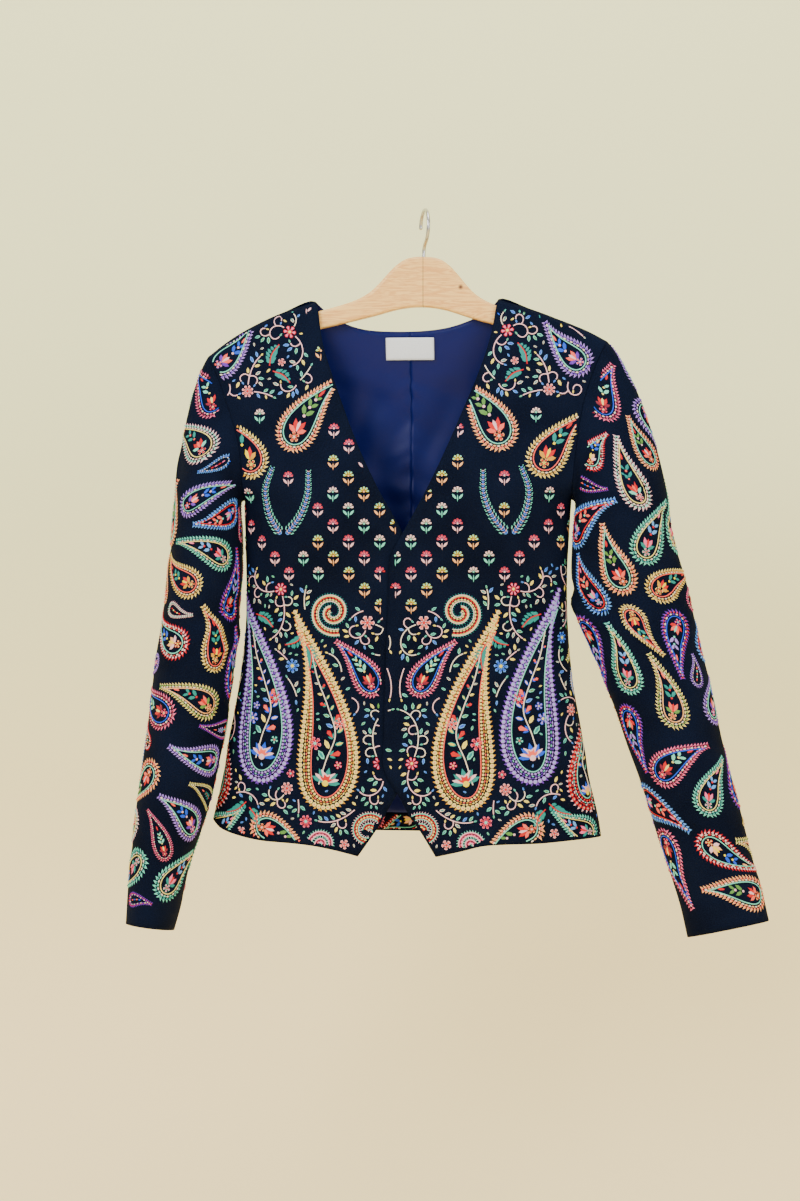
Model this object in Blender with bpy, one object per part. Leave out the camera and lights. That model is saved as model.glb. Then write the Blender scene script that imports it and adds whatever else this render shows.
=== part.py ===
"""An embroidered, collarless, V-necked jacket hanging on a flat wooden hanger.

Each cut piece is one closed wall of cloth. Sizes below are millimetres: "across" is measured from the
jacket's centre line (minus to the wearer's right, which is the viewer's left), "height" from the inside
top of the hanger's hook, where the origin lies. The front faces -Y.
"""

import math
from collections import namedtuple

import bmesh
import bpy
from mathutils import Vector

MM = 0.001

# Cloth and seams
CLOTH_WALL = 1.5
LINING_WALL = 1.0
LABEL_WALL = 1.0
SEAM_GAP = 0.3
SLEEVE_SEAM_GAP = 0.38
LAYER_GAP = 0.5
LAP_STEP = 2.3
LAP_EASE = 18.0

# Where the jacket hangs and how it fills out
GARMENT_CENTRE_X = -19.0
SHOULDER_ROLL = 9.5
NECK_HALF_WIDTH = 95.5
SHOULDER_HALF_WIDTH = 208.0
SECTION_POWER = 2.2
UNDERARM_HEIGHT = -300.0
UNDERARM_SCOOP = 36.0
ARMHOLE_DEPTH = {"front": 30.0, "back": 28.0}
EASE_LENGTH = {"front": 190.0, "back": 125.0}
BUST_ACROSS, BUST_HEIGHT, BUST_FULLNESS = 84.0, -312.0, 5.0
BUST_WIDTH, BUST_LENGTH = 50.0, 62.0

# Linings, facing and label on the inside of the back
BACK_SEAM_ACROSS = 2.5
LINING_BELOW_SHOULDER = (8.9, 9.2)
FACING_WIDTH = 19.0
LABEL_WIDTH, LABEL_DEPTH, LABEL_TOP = 50.0, 22.5, -130.0
LABEL_ROWS, LABEL_COLUMNS = 3, 7

# Hanger and hook
HANGER_ROLL = math.radians(1.5)
HANGER_THICKNESS = 12.0
HANGER_BEVEL = 3.0
HOOK_WIRE = 3.8
HOOK_INSIDE_RADIUS = 16.0
HOOK_YAW = math.radians(17.0)
HOOK_FRONT_END, HOOK_BACK_END = math.radians(-65.0), math.radians(182.0)
HOOK_RING_STEPS = 26
HOOK_BEND_STEPS, HOOK_BEND_PULL = 6, 11.0
SHAFT_TOP, SHAFT_FOOT = -41.0, -61.5
BORE_CLEARANCE, BORE_FOOT, BORE_LENGTH = 0.3, -62.0, 40.0

Finish = namedtuple("Finish", "colour roughness metallic")
EdgePoint = namedtuple("EdgePoint", "height across")
ShoulderRow = namedtuple("ShoulderRow", "across left right")
DepthRow = namedtuple("DepthRow", "height front back")
HemRow = namedtuple("HemRow", "across height")
PanelRow = namedtuple("PanelRow", "centre side")
SleeveRow = namedtuple("SleeveRow", "height outer inner tilt forward depth")
HangerRow = namedtuple("HangerRow", "across top bottom")

FINISHES = {
    "navy_cloth": Finish((0.007, 0.011, 0.026), 0.85, 0.0),
    "satin_lining": Finish((0.012, 0.022, 0.13), 0.35, 0.0),
    "label_satin": Finish((0.78, 0.8, 0.84), 0.4, 0.0),
    "pine": Finish((0.62, 0.41, 0.23), 0.5, 0.0),
    "hook_steel": Finish((0.55, 0.54, 0.52), 0.3, 1.0),
}

# The shoulder seam's height at each distance from the centre, on either side
SHOULDER_LINE = (
    ShoulderRow(95.5, -92.3, -91.3),
    ShoulderRow(131, -104.0, -102.5),
    ShoulderRow(164, -119.2, -115.3),
    ShoulderRow(187, -133.0, -124.8),
    ShoulderRow(208, -149.0, -136.0),
)

# Half widths down the armhole and then the side seam
SIDE_EDGE = {
    "left": (
        EdgePoint(-149, 208), EdgePoint(-158, 203), EdgePoint(-172, 196.5), EdgePoint(-190, 190),
        EdgePoint(-212, 182), EdgePoint(-232, 176), EdgePoint(-252, 171.5), EdgePoint(-275, 169.5),
        EdgePoint(-300, 169.5), EdgePoint(-340, 169), EdgePoint(-404, 167.5), EdgePoint(-455, 171),
        EdgePoint(-489, 175), EdgePoint(-515, 179.5), EdgePoint(-549, 186.5), EdgePoint(-571, 189.5),
        EdgePoint(-601, 195.5), EdgePoint(-632, 203), EdgePoint(-650, 206),
    ),
    "right": (
        EdgePoint(-136, 208), EdgePoint(-148, 202), EdgePoint(-162, 196), EdgePoint(-180, 189.5),
        EdgePoint(-200, 184), EdgePoint(-220, 180), EdgePoint(-250, 176), EdgePoint(-280, 173),
        EdgePoint(-300, 171), EdgePoint(-340, 168.5), EdgePoint(-404, 166), EdgePoint(-455, 169.5),
        EdgePoint(-489, 172.5), EdgePoint(-515, 175.5), EdgePoint(-549, 184), EdgePoint(-571, 186.5),
        EdgePoint(-601, 192), EdgePoint(-640, 201), EdgePoint(-650, 202),
    ),
}

# How far the middle of the front and the back stand from the hanger's plane
CENTRE_DEPTH = (
    DepthRow(-90, 47, 35),
    DepthRow(-200, 50, 37),
    DepthRow(-320, 51, 39),
    DepthRow(-410, 45, 37),
    DepthRow(-500, 46, 40),
    DepthRow(-600, 49, 44),
    DepthRow(-670, 51, 46),
)

# The neck edge, then the lapped edge, then the cut-away point of each front
CENTRE_EDGE = {
    "right": (
        EdgePoint(-91.3, 95.5), EdgePoint(-102, 93.2), EdgePoint(-123, 89.8), EdgePoint(-157, 80.2),
        EdgePoint(-184, 70.4), EdgePoint(-212, 59), EdgePoint(-253, 42), EdgePoint(-294, 22.3),
        EdgePoint(-334.5, 0), EdgePoint(-356, -11.5), EdgePoint(-381, -13.5), EdgePoint(-404, -15.4),
        EdgePoint(-442, -17), EdgePoint(-477, -18.6), EdgePoint(-573, -20.2), EdgePoint(-595, -10.4),
        EdgePoint(-604, -4.5), EdgePoint(-621, 4.5), EdgePoint(-639, 17), EdgePoint(-666, 33.5),
    ),
    "left": (
        EdgePoint(-92.3, -95.5), EdgePoint(-100, -92.2), EdgePoint(-122, -89.2), EdgePoint(-149, -83.6),
        EdgePoint(-176, -73.6), EdgePoint(-204, -63.2), EdgePoint(-234, -51.5), EdgePoint(-264, -38.2),
        EdgePoint(-300, -20), EdgePoint(-334.5, -1), EdgePoint(-356, 6), EdgePoint(-404, 10),
        EdgePoint(-500, 10), EdgePoint(-555, 8.5), EdgePoint(-585, 3), EdgePoint(-604, -7.4),
        EdgePoint(-621, -17.2), EdgePoint(-640, -28.4), EdgePoint(-661, -41), EdgePoint(-666, -46.5),
    ),
}

FRONT_HEM = {
    "left": (
        HemRow(-46.5, -666), HemRow(-85.5, -657), HemRow(-117, -653.4), HemRow(-141, -652),
        HemRow(-187.5, -642), HemRow(-203, -631.5),
    ),
    "right": (
        HemRow(33.5, -666), HemRow(59, -660.5), HemRow(90.5, -654), HemRow(138, -652.7),
        HemRow(169, -650.2), HemRow(202, -647.5),
    ),
}
BACK_HEM = (
    HemRow(-203, -631.5), HemRow(-150, -641), HemRow(-60, -646), HemRow(60, -647), HemRow(202, -647.5),
)
BACK_NECK = (
    HemRow(-95.5, -92.3), HemRow(-84, -103.5), HemRow(-66, -114.4), HemRow(-51, -119.7),
    HemRow(-33.7, -122.4), HemRow(-4, -123.4), HemRow(19, -122.6), HemRow(43, -119.3),
    HemRow(65.5, -112.2), HemRow(84, -102.5), HemRow(95.5, -91.3),
)

# Rows of each panel below the shoulder roll. At the side 0 to 1 runs down the armhole, 1 to 2 the side seam.
FRONT_ROWS = (
    PanelRow(-118, 0.12), PanelRow(-140, 0.22), PanelRow(-170, 0.35), PanelRow(-205, 0.48),
    PanelRow(-240, 0.62), PanelRow(-272, 0.76), PanelRow(-298, 0.88), PanelRow(-314, 0.945),
    PanelRow(-326, 0.985), PanelRow(-334.5, 1.0), PanelRow(-356, 1.08), PanelRow(-404, 1.22),
    PanelRow(-450, 1.36), PanelRow(-505, 1.52), PanelRow(-545, 1.66), PanelRow(-573, 1.75),
    PanelRow(-595, 1.81), PanelRow(-604, 1.845), PanelRow(-621, 1.89), PanelRow(-639, 1.945),
)
BACK_ROWS = (
    PanelRow(-139, 0.12), PanelRow(-148, 0.22), PanelRow(-166, 0.35), PanelRow(-192, 0.48),
    PanelRow(-224, 0.62), PanelRow(-256, 0.76), PanelRow(-282, 0.88), PanelRow(-295, 0.945),
    PanelRow(-303, 0.985), PanelRow(-309, 1.0), PanelRow(-336, 1.1), PanelRow(-380, 1.23),
    PanelRow(-430, 1.38), PanelRow(-485, 1.54), PanelRow(-535, 1.68), PanelRow(-585, 1.82),
)
ROLL_DROPS = (1.3, 4.8, 9.5)
FRONT_COLUMNS = 13
BACK_NECK_COLUMNS = 7
NECK_CORNER_SHARE = 0.955
BACK_SIDE_COLUMNS = 6

# The sleeve's outline seen from the front, from the first whole ring down to the cuff. "forward" is how
# far its middle hangs in front of the hanger, "depth" half its size front to back, "tilt" in degrees.
SLEEVE_ROWS = {
    "left": (
        SleeveRow(-335, 245.5, 172.0, 3.0, 4, 55),
        SleeveRow(-381, 250.0, 172.3, 4.0, 5, 54),
        SleeveRow(-428, 255.2, 175.2, 6.0, 7, 52),
        SleeveRow(-466, 261.5, 179.0, 7.0, 10, 50),
        SleeveRow(-500, 265.0, 182.6, 7.0, 13, 48.5),
        SleeveRow(-534, 268.6, 187.0, 7.5, 16, 47),
        SleeveRow(-568, 272.6, 193.4, 8.5, 20, 45.5),
        SleeveRow(-603, 277.0, 200.6, 9.0, 24, 44),
        SleeveRow(-636, 281.0, 209.6, 9.5, 28, 43),
        SleeveRow(-662, 283.5, 218.6, 9.5, 31, 42),
        SleeveRow(-690, 285.4, 226.6, 9.0, 34, 41.5),
        SleeveRow(-714, 286.6, 230.6, 9.0, 36, 41.5),
        SleeveRow(-741, 287.6, 238.6, 8.0, 39, 41.5),
    ),
    "right": (
        SleeveRow(-335, 275.0, 172.4, 3.0, 4, 43),
        SleeveRow(-370, 285.0, 171.0, 5.0, 5, 37),
        SleeveRow(-404, 294.0, 170.4, 10.0, 6, 31),
        SleeveRow(-434, 299.8, 183.4, 14.0, 8, 36),
        SleeveRow(-466, 307.8, 194.6, 15.0, 10, 38.5),
        SleeveRow(-500, 316.2, 210.8, 16.0, 13, 40.5),
        SleeveRow(-538, 323.4, 223.0, 16.0, 16, 41),
        SleeveRow(-575, 332.2, 237.2, 16.0, 20, 40.5),
        SleeveRow(-619, 344.3, 251.2, 16.0, 25, 38.5),
        SleeveRow(-646, 350.4, 259.6, 16.0, 28, 36.5),
        SleeveRow(-674, 357.7, 269.6, 16.0, 31, 34.5),
        SleeveRow(-706, 367.4, 279.4, 15.0, 35, 31.5),
        SleeveRow(-738, 374.0, 289.6, 12.0, 39, 29),
    ),
}
SLEEVE_PITCH = 0.08

# The column of the armhole loop at each end of a sleeve part: 13 is the underarm, 22 the back of the arm
SLEEVE_PARTS = {"top": (22, 13), "under": (13, 22)}
SLEEVE_FITTING_PASSES = 8

# The sleeve head: its rings between the armhole and the first whole ring, how steeply it leaves the
# armhole at the top, elsewhere and under the arm, and how strongly it keeps each end's direction
CAP_STEPS = (0.05, 0.17, 0.34, 0.54, 0.77)
CAP_TOP_FALL = {"left": 0.95, "right": 0.62}
CAP_SIDE_FALL = 0.3
CAP_UNDER_FALL = -0.2
CAP_TOP_OUT, CAP_SIDE_OUT = 0.6, 0.9
CAP_START_PULL, CAP_END_PULL = 0.75, 0.7
SLEEVE_HANG = Vector((0.06, -0.02, -1.0))

# Down the first rings the points move most of the way from the armhole's spacing to even spacing
EVEN_SHARE, EVEN_RINGS = 0.7, 4

HANGER_OUTLINE = (
    HangerRow(0, -47.0, -99.2),
    HangerRow(9, -47.4, -99.6),
    HangerRow(18, -49.6, -100.8),
    HangerRow(27, -55.5, -102.6),
    HangerRow(36, -64.5, -105.2),
    HangerRow(45, -75.0, -108.0),
    HangerRow(54, -84.0, -110.6),
    HangerRow(64, -90.6, -113.2),
    HangerRow(77, -96.2, -116.6),
    HangerRow(96, -102.2, -121.4),
    HangerRow(118, -108.6, -127.2),
    HangerRow(142, -116.4, -133.6),
    HangerRow(166, -125.0, -140.2),
    HangerRow(182, -132.8, -144.6),
    HangerRow(189, -136.6, -145.4),
    HangerRow(192.5, -139.8, -143.4),
)


def smooth_curve(pairs, at):
    """The value at one place on a smooth curve through (place, value) pairs, straight past its ends."""
    pairs = sorted(pairs)
    if at <= pairs[0][0]:
        return pairs[0][1]
    if at >= pairs[-1][0]:
        return pairs[-1][1]
    index = next(i for i in range(len(pairs) - 1) if at <= pairs[i + 1][0])

    def slope(i):
        if i <= 0 or i >= len(pairs) - 1:
            i = min(max(i, 0), len(pairs) - 2)
            return (pairs[i + 1][1] - pairs[i][1]) / (pairs[i + 1][0] - pairs[i][0])
        before = (pairs[i][1] - pairs[i - 1][1]) / (pairs[i][0] - pairs[i - 1][0])
        after = (pairs[i + 1][1] - pairs[i][1]) / (pairs[i + 1][0] - pairs[i][0])
        if before * after <= 0:
            return 0.0
        return 2 * before * after / (before + after)

    (x0, y0), (x1, y1) = pairs[index], pairs[index + 1]
    span = x1 - x0
    t = (at - x0) / span
    return (
        (2 * t ** 3 - 3 * t ** 2 + 1) * y0
        + (t ** 3 - 2 * t ** 2 + t) * span * slope(index)
        + (3 * t ** 2 - 2 * t ** 3) * y1
        + (t ** 3 - t ** 2) * span * slope(index + 1)
    )


def smooth_step(t):
    t = min(max(t, 0.0), 1.0)
    return t * t * (3 - 2 * t)


def mix(a, b, t):
    return a + (b - a) * t


def shoulder_height(side, across):
    """The height of the shoulder line, level inside the neck."""
    rows = [(row.across, getattr(row, side)) for row in SHOULDER_LINE]
    return smooth_curve(rows, abs(across))


def side_reach(side, height):
    """The half width to the armhole edge or the side seam at a height."""
    return smooth_curve(SIDE_EDGE[side], height)


def armhole_depth(face, height):
    """How far the outer edge stands from the middle plane: an upright armhole with a scooped foot."""
    if height <= UNDERARM_HEIGHT:
        return 0.0
    scoop_top = UNDERARM_HEIGHT + UNDERARM_SCOOP
    fall = min(max((scoop_top - height) / UNDERARM_SCOOP, 0.0), 1.0)
    return ARMHOLE_DEPTH[face] * math.sqrt(1 - fall ** 2)


def spread(u):
    """The share of the half width reached at u, from -1 to 1, with points closer towards the side."""
    return math.copysign(math.sin(abs(u) * math.pi / 2) ** (2 / SECTION_POWER), u)


def unspread(share):
    share = min(max(share, -1.0), 1.0)
    return math.copysign(math.asin(abs(share) ** (SECTION_POWER / 2)) / (math.pi / 2), share)


def centre_edge(side, height):
    return smooth_curve(CENTRE_EDGE[side], height)


def bust(side, across, height):
    if across * (1 if side == "right" else -1) < 0:
        return 0.0
    wide = (abs(across) - BUST_ACROSS) / BUST_WIDTH
    tall = (height - BUST_HEIGHT) / BUST_LENGTH
    return BUST_FULLNESS * math.exp(-(wide ** 2) - tall ** 2)


def body_depth(face, side, across, height, inset):
    """How far a point of the torso stands from the hanger's plane."""
    reach = side_reach(side, height) - inset
    edge = armhole_depth(face, height)
    full_edge = ARMHOLE_DEPTH[face]
    openness = edge / full_edge
    edge -= inset * openness
    centre = smooth_curve([(row.height, getattr(row, face)) for row in CENTRE_DEPTH], height) - inset
    if face == "front":
        centre += bust(side, across, height)
    share = min(abs(across) / reach, 1.0)
    power = mix(SECTION_POWER, 1.0, openness)
    full = edge + (centre - edge) * max(1 - share ** SECTION_POWER, 0.0) ** (1 / power)
    roll_radius = SHOULDER_ROLL - inset
    drop = max(shoulder_height(side, across) - inset - height, 0.0)
    roll = math.sqrt(1 - (1 - min(drop / roll_radius, 1.0)) ** 2)
    eased = smooth_step(drop / EASE_LENGTH[face])
    if full > roll_radius:
        depth = roll_radius * roll + (full - roll_radius) * eased
    else:
        depth = mix(roll_radius, full, eased) * roll
    if face == "front" and side == "left":
        lap = 1 + (across + LAP_EASE - centre_edge("right", height)) / LAP_EASE
        depth -= LAP_STEP * smooth_step(lap)
    return max(depth, SEAM_GAP / 2)


def body_point(face, side, across, height, inset):
    """A point on the torso. Inside points on the shoulder's roll also drop by the wall."""
    drop = shoulder_height(side, across) - height
    lowered = height - inset * max(1 - drop / SHOULDER_ROLL, 0.0)
    depth = body_depth(face, side, across, lowered, inset)
    return Vector((GARMENT_CENTRE_X + across, -depth if face == "front" else depth, lowered))


def side_height(side, place):
    """The height on the outer edge at 0 to 1 down the armhole, then 1 to 2 down the side seam."""
    shoulder = SHOULDER_LINE[-1]
    top = getattr(shoulder, side)
    hem = FRONT_HEM[side][-1].height
    if place <= 1:
        return mix(top, UNDERARM_HEIGHT, place)
    return mix(UNDERARM_HEIGHT, hem, place - 1)


def row_point(face, side, u, height, inset):
    reach = side_reach(side, height) - inset
    return body_point(face, side, reach * spread(u), height, inset)


def front_grid(side, inset):
    """Rows of points from the shoulder seam to the hem, each from the centre edge to the outer edge."""
    sign = 1 if side == "right" else -1
    hem = [(abs(row.across) if sign * row.across > 0 else 0.0, row.height) for row in FRONT_HEM[side]]
    hem_in, hem_out = abs(FRONT_HEM[side][0].across), abs(FRONT_HEM[side][-1].across)
    top_in, top_out = NECK_HALF_WIDTH, SHOULDER_HALF_WIDTH
    corner = shoulder_height(side, top_in)
    outer_corner = shoulder_height(side, top_out)
    levels = [(corner - drop, outer_corner - drop) for drop in (0.0,) + ROLL_DROPS]
    levels += [(row.centre, side_height(side, row.side)) for row in FRONT_ROWS]
    levels.append((FRONT_HEM[side][0].height, FRONT_HEM[side][-1].height))
    grid = []
    for centre_height, outer_height in levels:
        t = (centre_height - corner) / (levels[-1][0] - corner)
        points = []
        for column in range(FRONT_COLUMNS):
            s = column / (FRONT_COLUMNS - 1)
            top_u = mix(unspread(top_in / SHOULDER_HALF_WIDTH), 1.0, s)
            top_bow = shoulder_height(side, SHOULDER_HALF_WIDTH * spread(top_u)) - mix(corner, outer_corner, s)
            hem_u = mix(unspread(hem_in / hem_out), 1.0, s)
            hem_bow = smooth_curve(hem, hem_out * spread(hem_u)) - mix(hem[0][1], hem[-1][1], s)
            height = mix(centre_height, outer_height, s) + top_bow * (1 - t) ** 2 + hem_bow * t ** 3
            edge_across = centre_edge(side, height if column == 0 else centre_height)
            reach = side_reach(side, height) - inset
            start_u = unspread(edge_across / reach)
            if column == 0:
                points.append(body_point("front", side, edge_across, height, inset))
            else:
                points.append(row_point("front", side, mix(start_u, sign * 1.0, s), height, inset))
        grid.append(points)
    return grid


def back_top(across):
    side = "right" if across > 0 else "left"
    if abs(across) >= NECK_HALF_WIDTH:
        return shoulder_height(side, across)
    return smooth_curve(BACK_NECK, across)


def neck_corner():
    return unspread(NECK_HALF_WIDTH / SHOULDER_HALF_WIDTH)


def back_columns():
    """Places across the back, from the left side to the right, with one on each neck corner."""
    inner = [neck_corner() * i / BACK_NECK_COLUMNS for i in range(BACK_NECK_COLUMNS)]
    inner += [neck_corner() * NECK_CORNER_SHARE, neck_corner()]
    outer = [mix(neck_corner(), 1.0, (i + 1) / BACK_SIDE_COLUMNS) for i in range(BACK_SIDE_COLUMNS)]
    right = inner + outer
    return [-u for u in reversed(right[1:])] + right


def back_foot(u):
    return smooth_curve(BACK_HEM, BACK_HEM[-1].across * spread(u))


def back_levels():
    """The back's rows as (kind, centre, side), from the neck and shoulders down to the hem."""
    levels = [("roll", drop, drop) for drop in (0.0,) + ROLL_DROPS]
    levels += [("row", row.centre, row.side) for row in BACK_ROWS]
    return levels + [("hem", FACING_WIDTH, 0.0), ("hem", 0.0, 0.0)]


def back_height(level, u):
    """The height of one row of the back at u."""
    kind, centre, outer = level
    side = "right" if u > 0 else "left"
    top = back_top(SHOULDER_HALF_WIDTH * spread(u))
    if kind == "roll":
        return top - centre
    if kind == "hem":
        return back_foot(u) + centre
    blend = abs(u) ** 1.5
    t = (centre - back_top(0.0)) / (back_foot(0.0) - back_top(0.0))
    top_bow = top - mix(back_top(0.0), getattr(SHOULDER_LINE[-1], side), blend)
    hem_bow = back_foot(u) - mix(back_foot(0.0), back_foot(math.copysign(1.0, u)), blend)
    return mix(centre, side_height(side, outer), blend) + top_bow * (1 - t) ** 4 + hem_bow * t ** 3


def back_grid(inset):
    grid = []
    for level in back_levels():
        row = []
        for u in back_columns():
            side = "right" if u > 0 else "left"
            row.append(row_point("back", side, u, back_height(level, u), inset))
        grid.append(row)
    return grid


def wall(name, outer, inner, slot, closed=False):
    """One closed wall between two grids of points. A closed grid runs round a tube."""
    mesh = bmesh.new()
    skins = [[[mesh.verts.new(point * MM) for point in row] for row in grid] for grid in (outer, inner)]
    rows, columns = len(outer), len(outer[0])
    steps = columns if closed else columns - 1

    def quad(a, b, c, d):
        mesh.faces.new((a, b, c, d))

    for skin in skins:
        for r in range(rows - 1):
            for c in range(steps):
                d = (c + 1) % columns
                quad(skin[r][c], skin[r][d], skin[r + 1][d], skin[r + 1][c])
    first, second = skins
    for r in (0, rows - 1):
        for c in range(steps):
            d = (c + 1) % columns
            quad(first[r][c], first[r][d], second[r][d], second[r][c])
    if not closed:
        for c in (0, columns - 1):
            for r in range(rows - 1):
                quad(first[r][c], first[r + 1][c], second[r + 1][c], second[r][c])
    return finish(name, mesh, slot)


def finish(name, mesh, slot):
    bmesh.ops.recalc_face_normals(mesh, faces=mesh.faces)
    data = bpy.data.meshes.new(name)
    mesh.to_mesh(data)
    mesh.free()
    data.shade_smooth()
    data.set_sharp_from_angle(angle=math.radians(50))
    data.materials.append(material_for(slot))
    piece = bpy.data.objects.new(name, data)
    bpy.context.collection.objects.link(piece)
    return piece


def material_for(slot):
    """The material of one slot, made the first time it is asked for."""
    material = bpy.data.materials.get(slot)
    if material:
        return material
    look = FINISHES[slot]
    material = bpy.data.materials.new(slot)
    material.use_nodes = True
    shader = material.node_tree.nodes["Principled BSDF"]
    shader.inputs["Base Color"].default_value = (*look.colour, 1.0)
    shader.inputs["Roughness"].default_value = look.roughness
    shader.inputs["Metallic"].default_value = look.metallic
    return material


def make_front(side):
    return wall(f"front_{side}", front_grid(side, 0.0), front_grid(side, CLOTH_WALL), "navy_cloth")


def make_back():
    return wall("back", back_grid(0.0), back_grid(CLOTH_WALL), "navy_cloth")


def armhole_loop(side, inset):
    """Panel edge points round the armhole: shoulder, down the front, underarm, up the back."""
    front = [row[-1] for row in front_grid(side, inset)]
    back = [row[-1 if side == "right" else 0] for row in back_grid(inset)]
    foot = len(ROLL_DROPS) + 1 + next(i for i, row in enumerate(FRONT_ROWS) if row.side == 1.0)
    top = (front[0] + back[0]) / 2
    under = (front[foot] + back[foot]) / 2
    return [top] + front[1:foot] + [under] + back[foot - 1:0:-1]


def armhole_neighbours(side):
    """The panel points just inside the armhole, in the order of the loop."""
    front = [row[-2] for row in front_grid(side, 0.0)]
    back = [row[-2 if side == "right" else 1] for row in back_grid(0.0)]
    foot = len(ROLL_DROPS) + 1 + next(i for i, row in enumerate(FRONT_ROWS) if row.side == 1.0)
    top = (front[0] + back[0]) / 2
    under = (front[foot + 1] + back[foot + 1]) / 2
    return [top] + front[1:foot] + [under] + back[foot - 1:0:-1]


def loop_angles(loop):
    """The angle round the sleeve for each point of the armhole: 0 outside, 90 in front, 180 inside."""
    count = len(loop)
    half = count // 2
    lengths = [(loop[(i + 1) % count] - loop[i]).length for i in range(count)]
    angles = []
    for i in range(count):
        if i <= half:
            angles.append(math.pi * sum(lengths[:i]) / sum(lengths[:half]))
        else:
            angles.append(math.pi * (1 + sum(lengths[half:i]) / sum(lengths[half:])))
    return angles


def sleeve_ring(side, row, angles):
    """One ring of the sleeve, tilted so that it meets both outlines."""
    sign = 1 if side == "right" else -1
    rows = SLEEVE_ROWS[side]
    tilt = math.radians(row.tilt)
    half = (row.outer - row.inner) / 2
    for _ in range(SLEEVE_FITTING_PASSES):
        outer = smooth_curve([(r.height, r.outer) for r in rows], row.height + half * math.sin(tilt))
        inner = smooth_curve([(r.height, r.inner) for r in rows], row.height - half * math.sin(tilt))
        half = (outer - inner) / 2 / math.cos(tilt)
    middle = (outer + inner) / 2
    ring = []
    for angle in angles:
        out, front = half * math.cos(angle), row.depth * math.sin(angle)
        ring.append(Vector((
            GARMENT_CENTRE_X + sign * (middle + out * math.cos(tilt)),
            -row.forward - front,
            row.height + out * math.sin(tilt) + front * SLEEVE_PITCH,
        )))
    return ring


def cap_start(side, angle):
    """The direction in which the sleeve leaves the armhole."""
    sign = 1 if side == "right" else -1
    top, under = max(math.cos(angle), 0.0), max(-math.cos(angle), 0.0)
    out = mix(CAP_SIDE_OUT, CAP_TOP_OUT, top)
    fall = CAP_SIDE_FALL + (CAP_TOP_FALL[side] - CAP_SIDE_FALL) * top + (CAP_UNDER_FALL - CAP_SIDE_FALL) * under
    return Vector((sign * out, -0.3 * math.sin(angle), -fall)).normalized()


def sleeve_rings(side):
    """The rings of the sleeve's outside, from the armhole to the cuff."""
    sign = 1 if side == "right" else -1
    loop = armhole_loop(side, 0.0)
    count = len(loop)
    angles = loop_angles(loop)
    even = [2 * math.pi * i / count for i in range(count)]
    rows = SLEEVE_ROWS[side]
    first = sleeve_ring(side, rows[0], angles)
    hang = Vector((sign * SLEEVE_HANG.x, SLEEVE_HANG.y, SLEEVE_HANG.z)).normalized()
    rings = []
    for t in CAP_STEPS:
        ring = []
        for i in range(count):
            span = (first[i] - loop[i]).length
            start = cap_start(side, angles[i]) * span * CAP_START_PULL
            end = hang * span * CAP_END_PULL
            ring.append(
                loop[i] * (2 * t ** 3 - 3 * t ** 2 + 1)
                + start * (t ** 3 - 2 * t ** 2 + t)
                + first[i] * (3 * t ** 2 - 2 * t ** 3)
                + end * (t ** 3 - t ** 2)
            )
        rings.append(ring)
    for index, row in enumerate(rows):
        share = EVEN_SHARE * smooth_step(index / EVEN_RINGS)
        mixed = [mix(a, b, share) for a, b in zip(angles, even)]
        rings.append(sleeve_ring(side, row, mixed))
    return rings


def tube_normals(rings):
    """The outward direction at each point of a tube of rings."""
    normals = []
    for r, ring in enumerate(rings):
        above, below = rings[max(r - 1, 0)], rings[min(r + 1, len(rings) - 1)]
        middle = sum(ring, Vector()) / len(ring)
        row = []
        for i, point in enumerate(ring):
            around = ring[(i + 1) % len(ring)] - ring[i - 1]
            along = below[i] - above[i]
            normal = around.cross(along).normalized()
            if normal.dot(point - middle) < 0:
                normal = -normal
            row.append(normal)
        normals.append(row)
    return normals


def sleeve_skins(side):
    """The rings of the whole sleeve, from the seam round the armhole to the cuff: outside and inside."""
    loop, inner_loop = armhole_loop(side, 0.0), armhole_loop(side, CLOTH_WALL)
    neighbours = armhole_neighbours(side)
    count = len(loop)
    head, inner_head = [], []
    for i in range(count):
        tangent = (loop[(i + 1) % count] - loop[i - 1]).normalized()
        rim = inner_loop[i] - loop[i]
        away = tangent.cross(rim).normalized()
        if away.dot(loop[i] - neighbours[i]) < 0:
            away = -away
        head.append(loop[i] + away * SLEEVE_SEAM_GAP)
        inner_head.append(inner_loop[i] + away * SLEEVE_SEAM_GAP)
    rings = sleeve_rings(side)
    normals = tube_normals(rings)
    inner = [[p - n * CLOTH_WALL for p, n in zip(ring, row)] for ring, row in zip(rings, normals)]
    return [head] + rings, [inner_head] + inner


def between_seams(rings, first, last):
    """The columns of a tube from one lengthwise seam to the other, drawn back a little from both."""
    count = len(rings[0])
    columns = [(first + k) % count for k in range((last - first) % count + 1)]
    rows = []
    for ring in rings:
        row = [ring[c] for c in columns]
        row[0] = row[0] + (row[1] - row[0]).normalized() * SEAM_GAP / 2
        row[-1] = row[-1] + (row[-2] - row[-1]).normalized() * SEAM_GAP / 2
        rows.append(row)
    return rows


def make_sleeve(side):
    """The top and the under sleeve, which meet at the underarm and at the back of the arm."""
    outer, inner = sleeve_skins(side)
    for part, (first, last) in SLEEVE_PARTS.items():
        name = f"sleeve_{side}_{part}"
        wall(name, between_seams(outer, first, last), between_seams(inner, first, last), "navy_cloth")


def inside_columns(side):
    """The back's columns on one side that the lining covers, from the middle outwards."""
    sign = 1 if side == "right" else -1
    return [u for u in back_columns() if 0 < sign * u < 1 - 1e-6][::sign]


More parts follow.
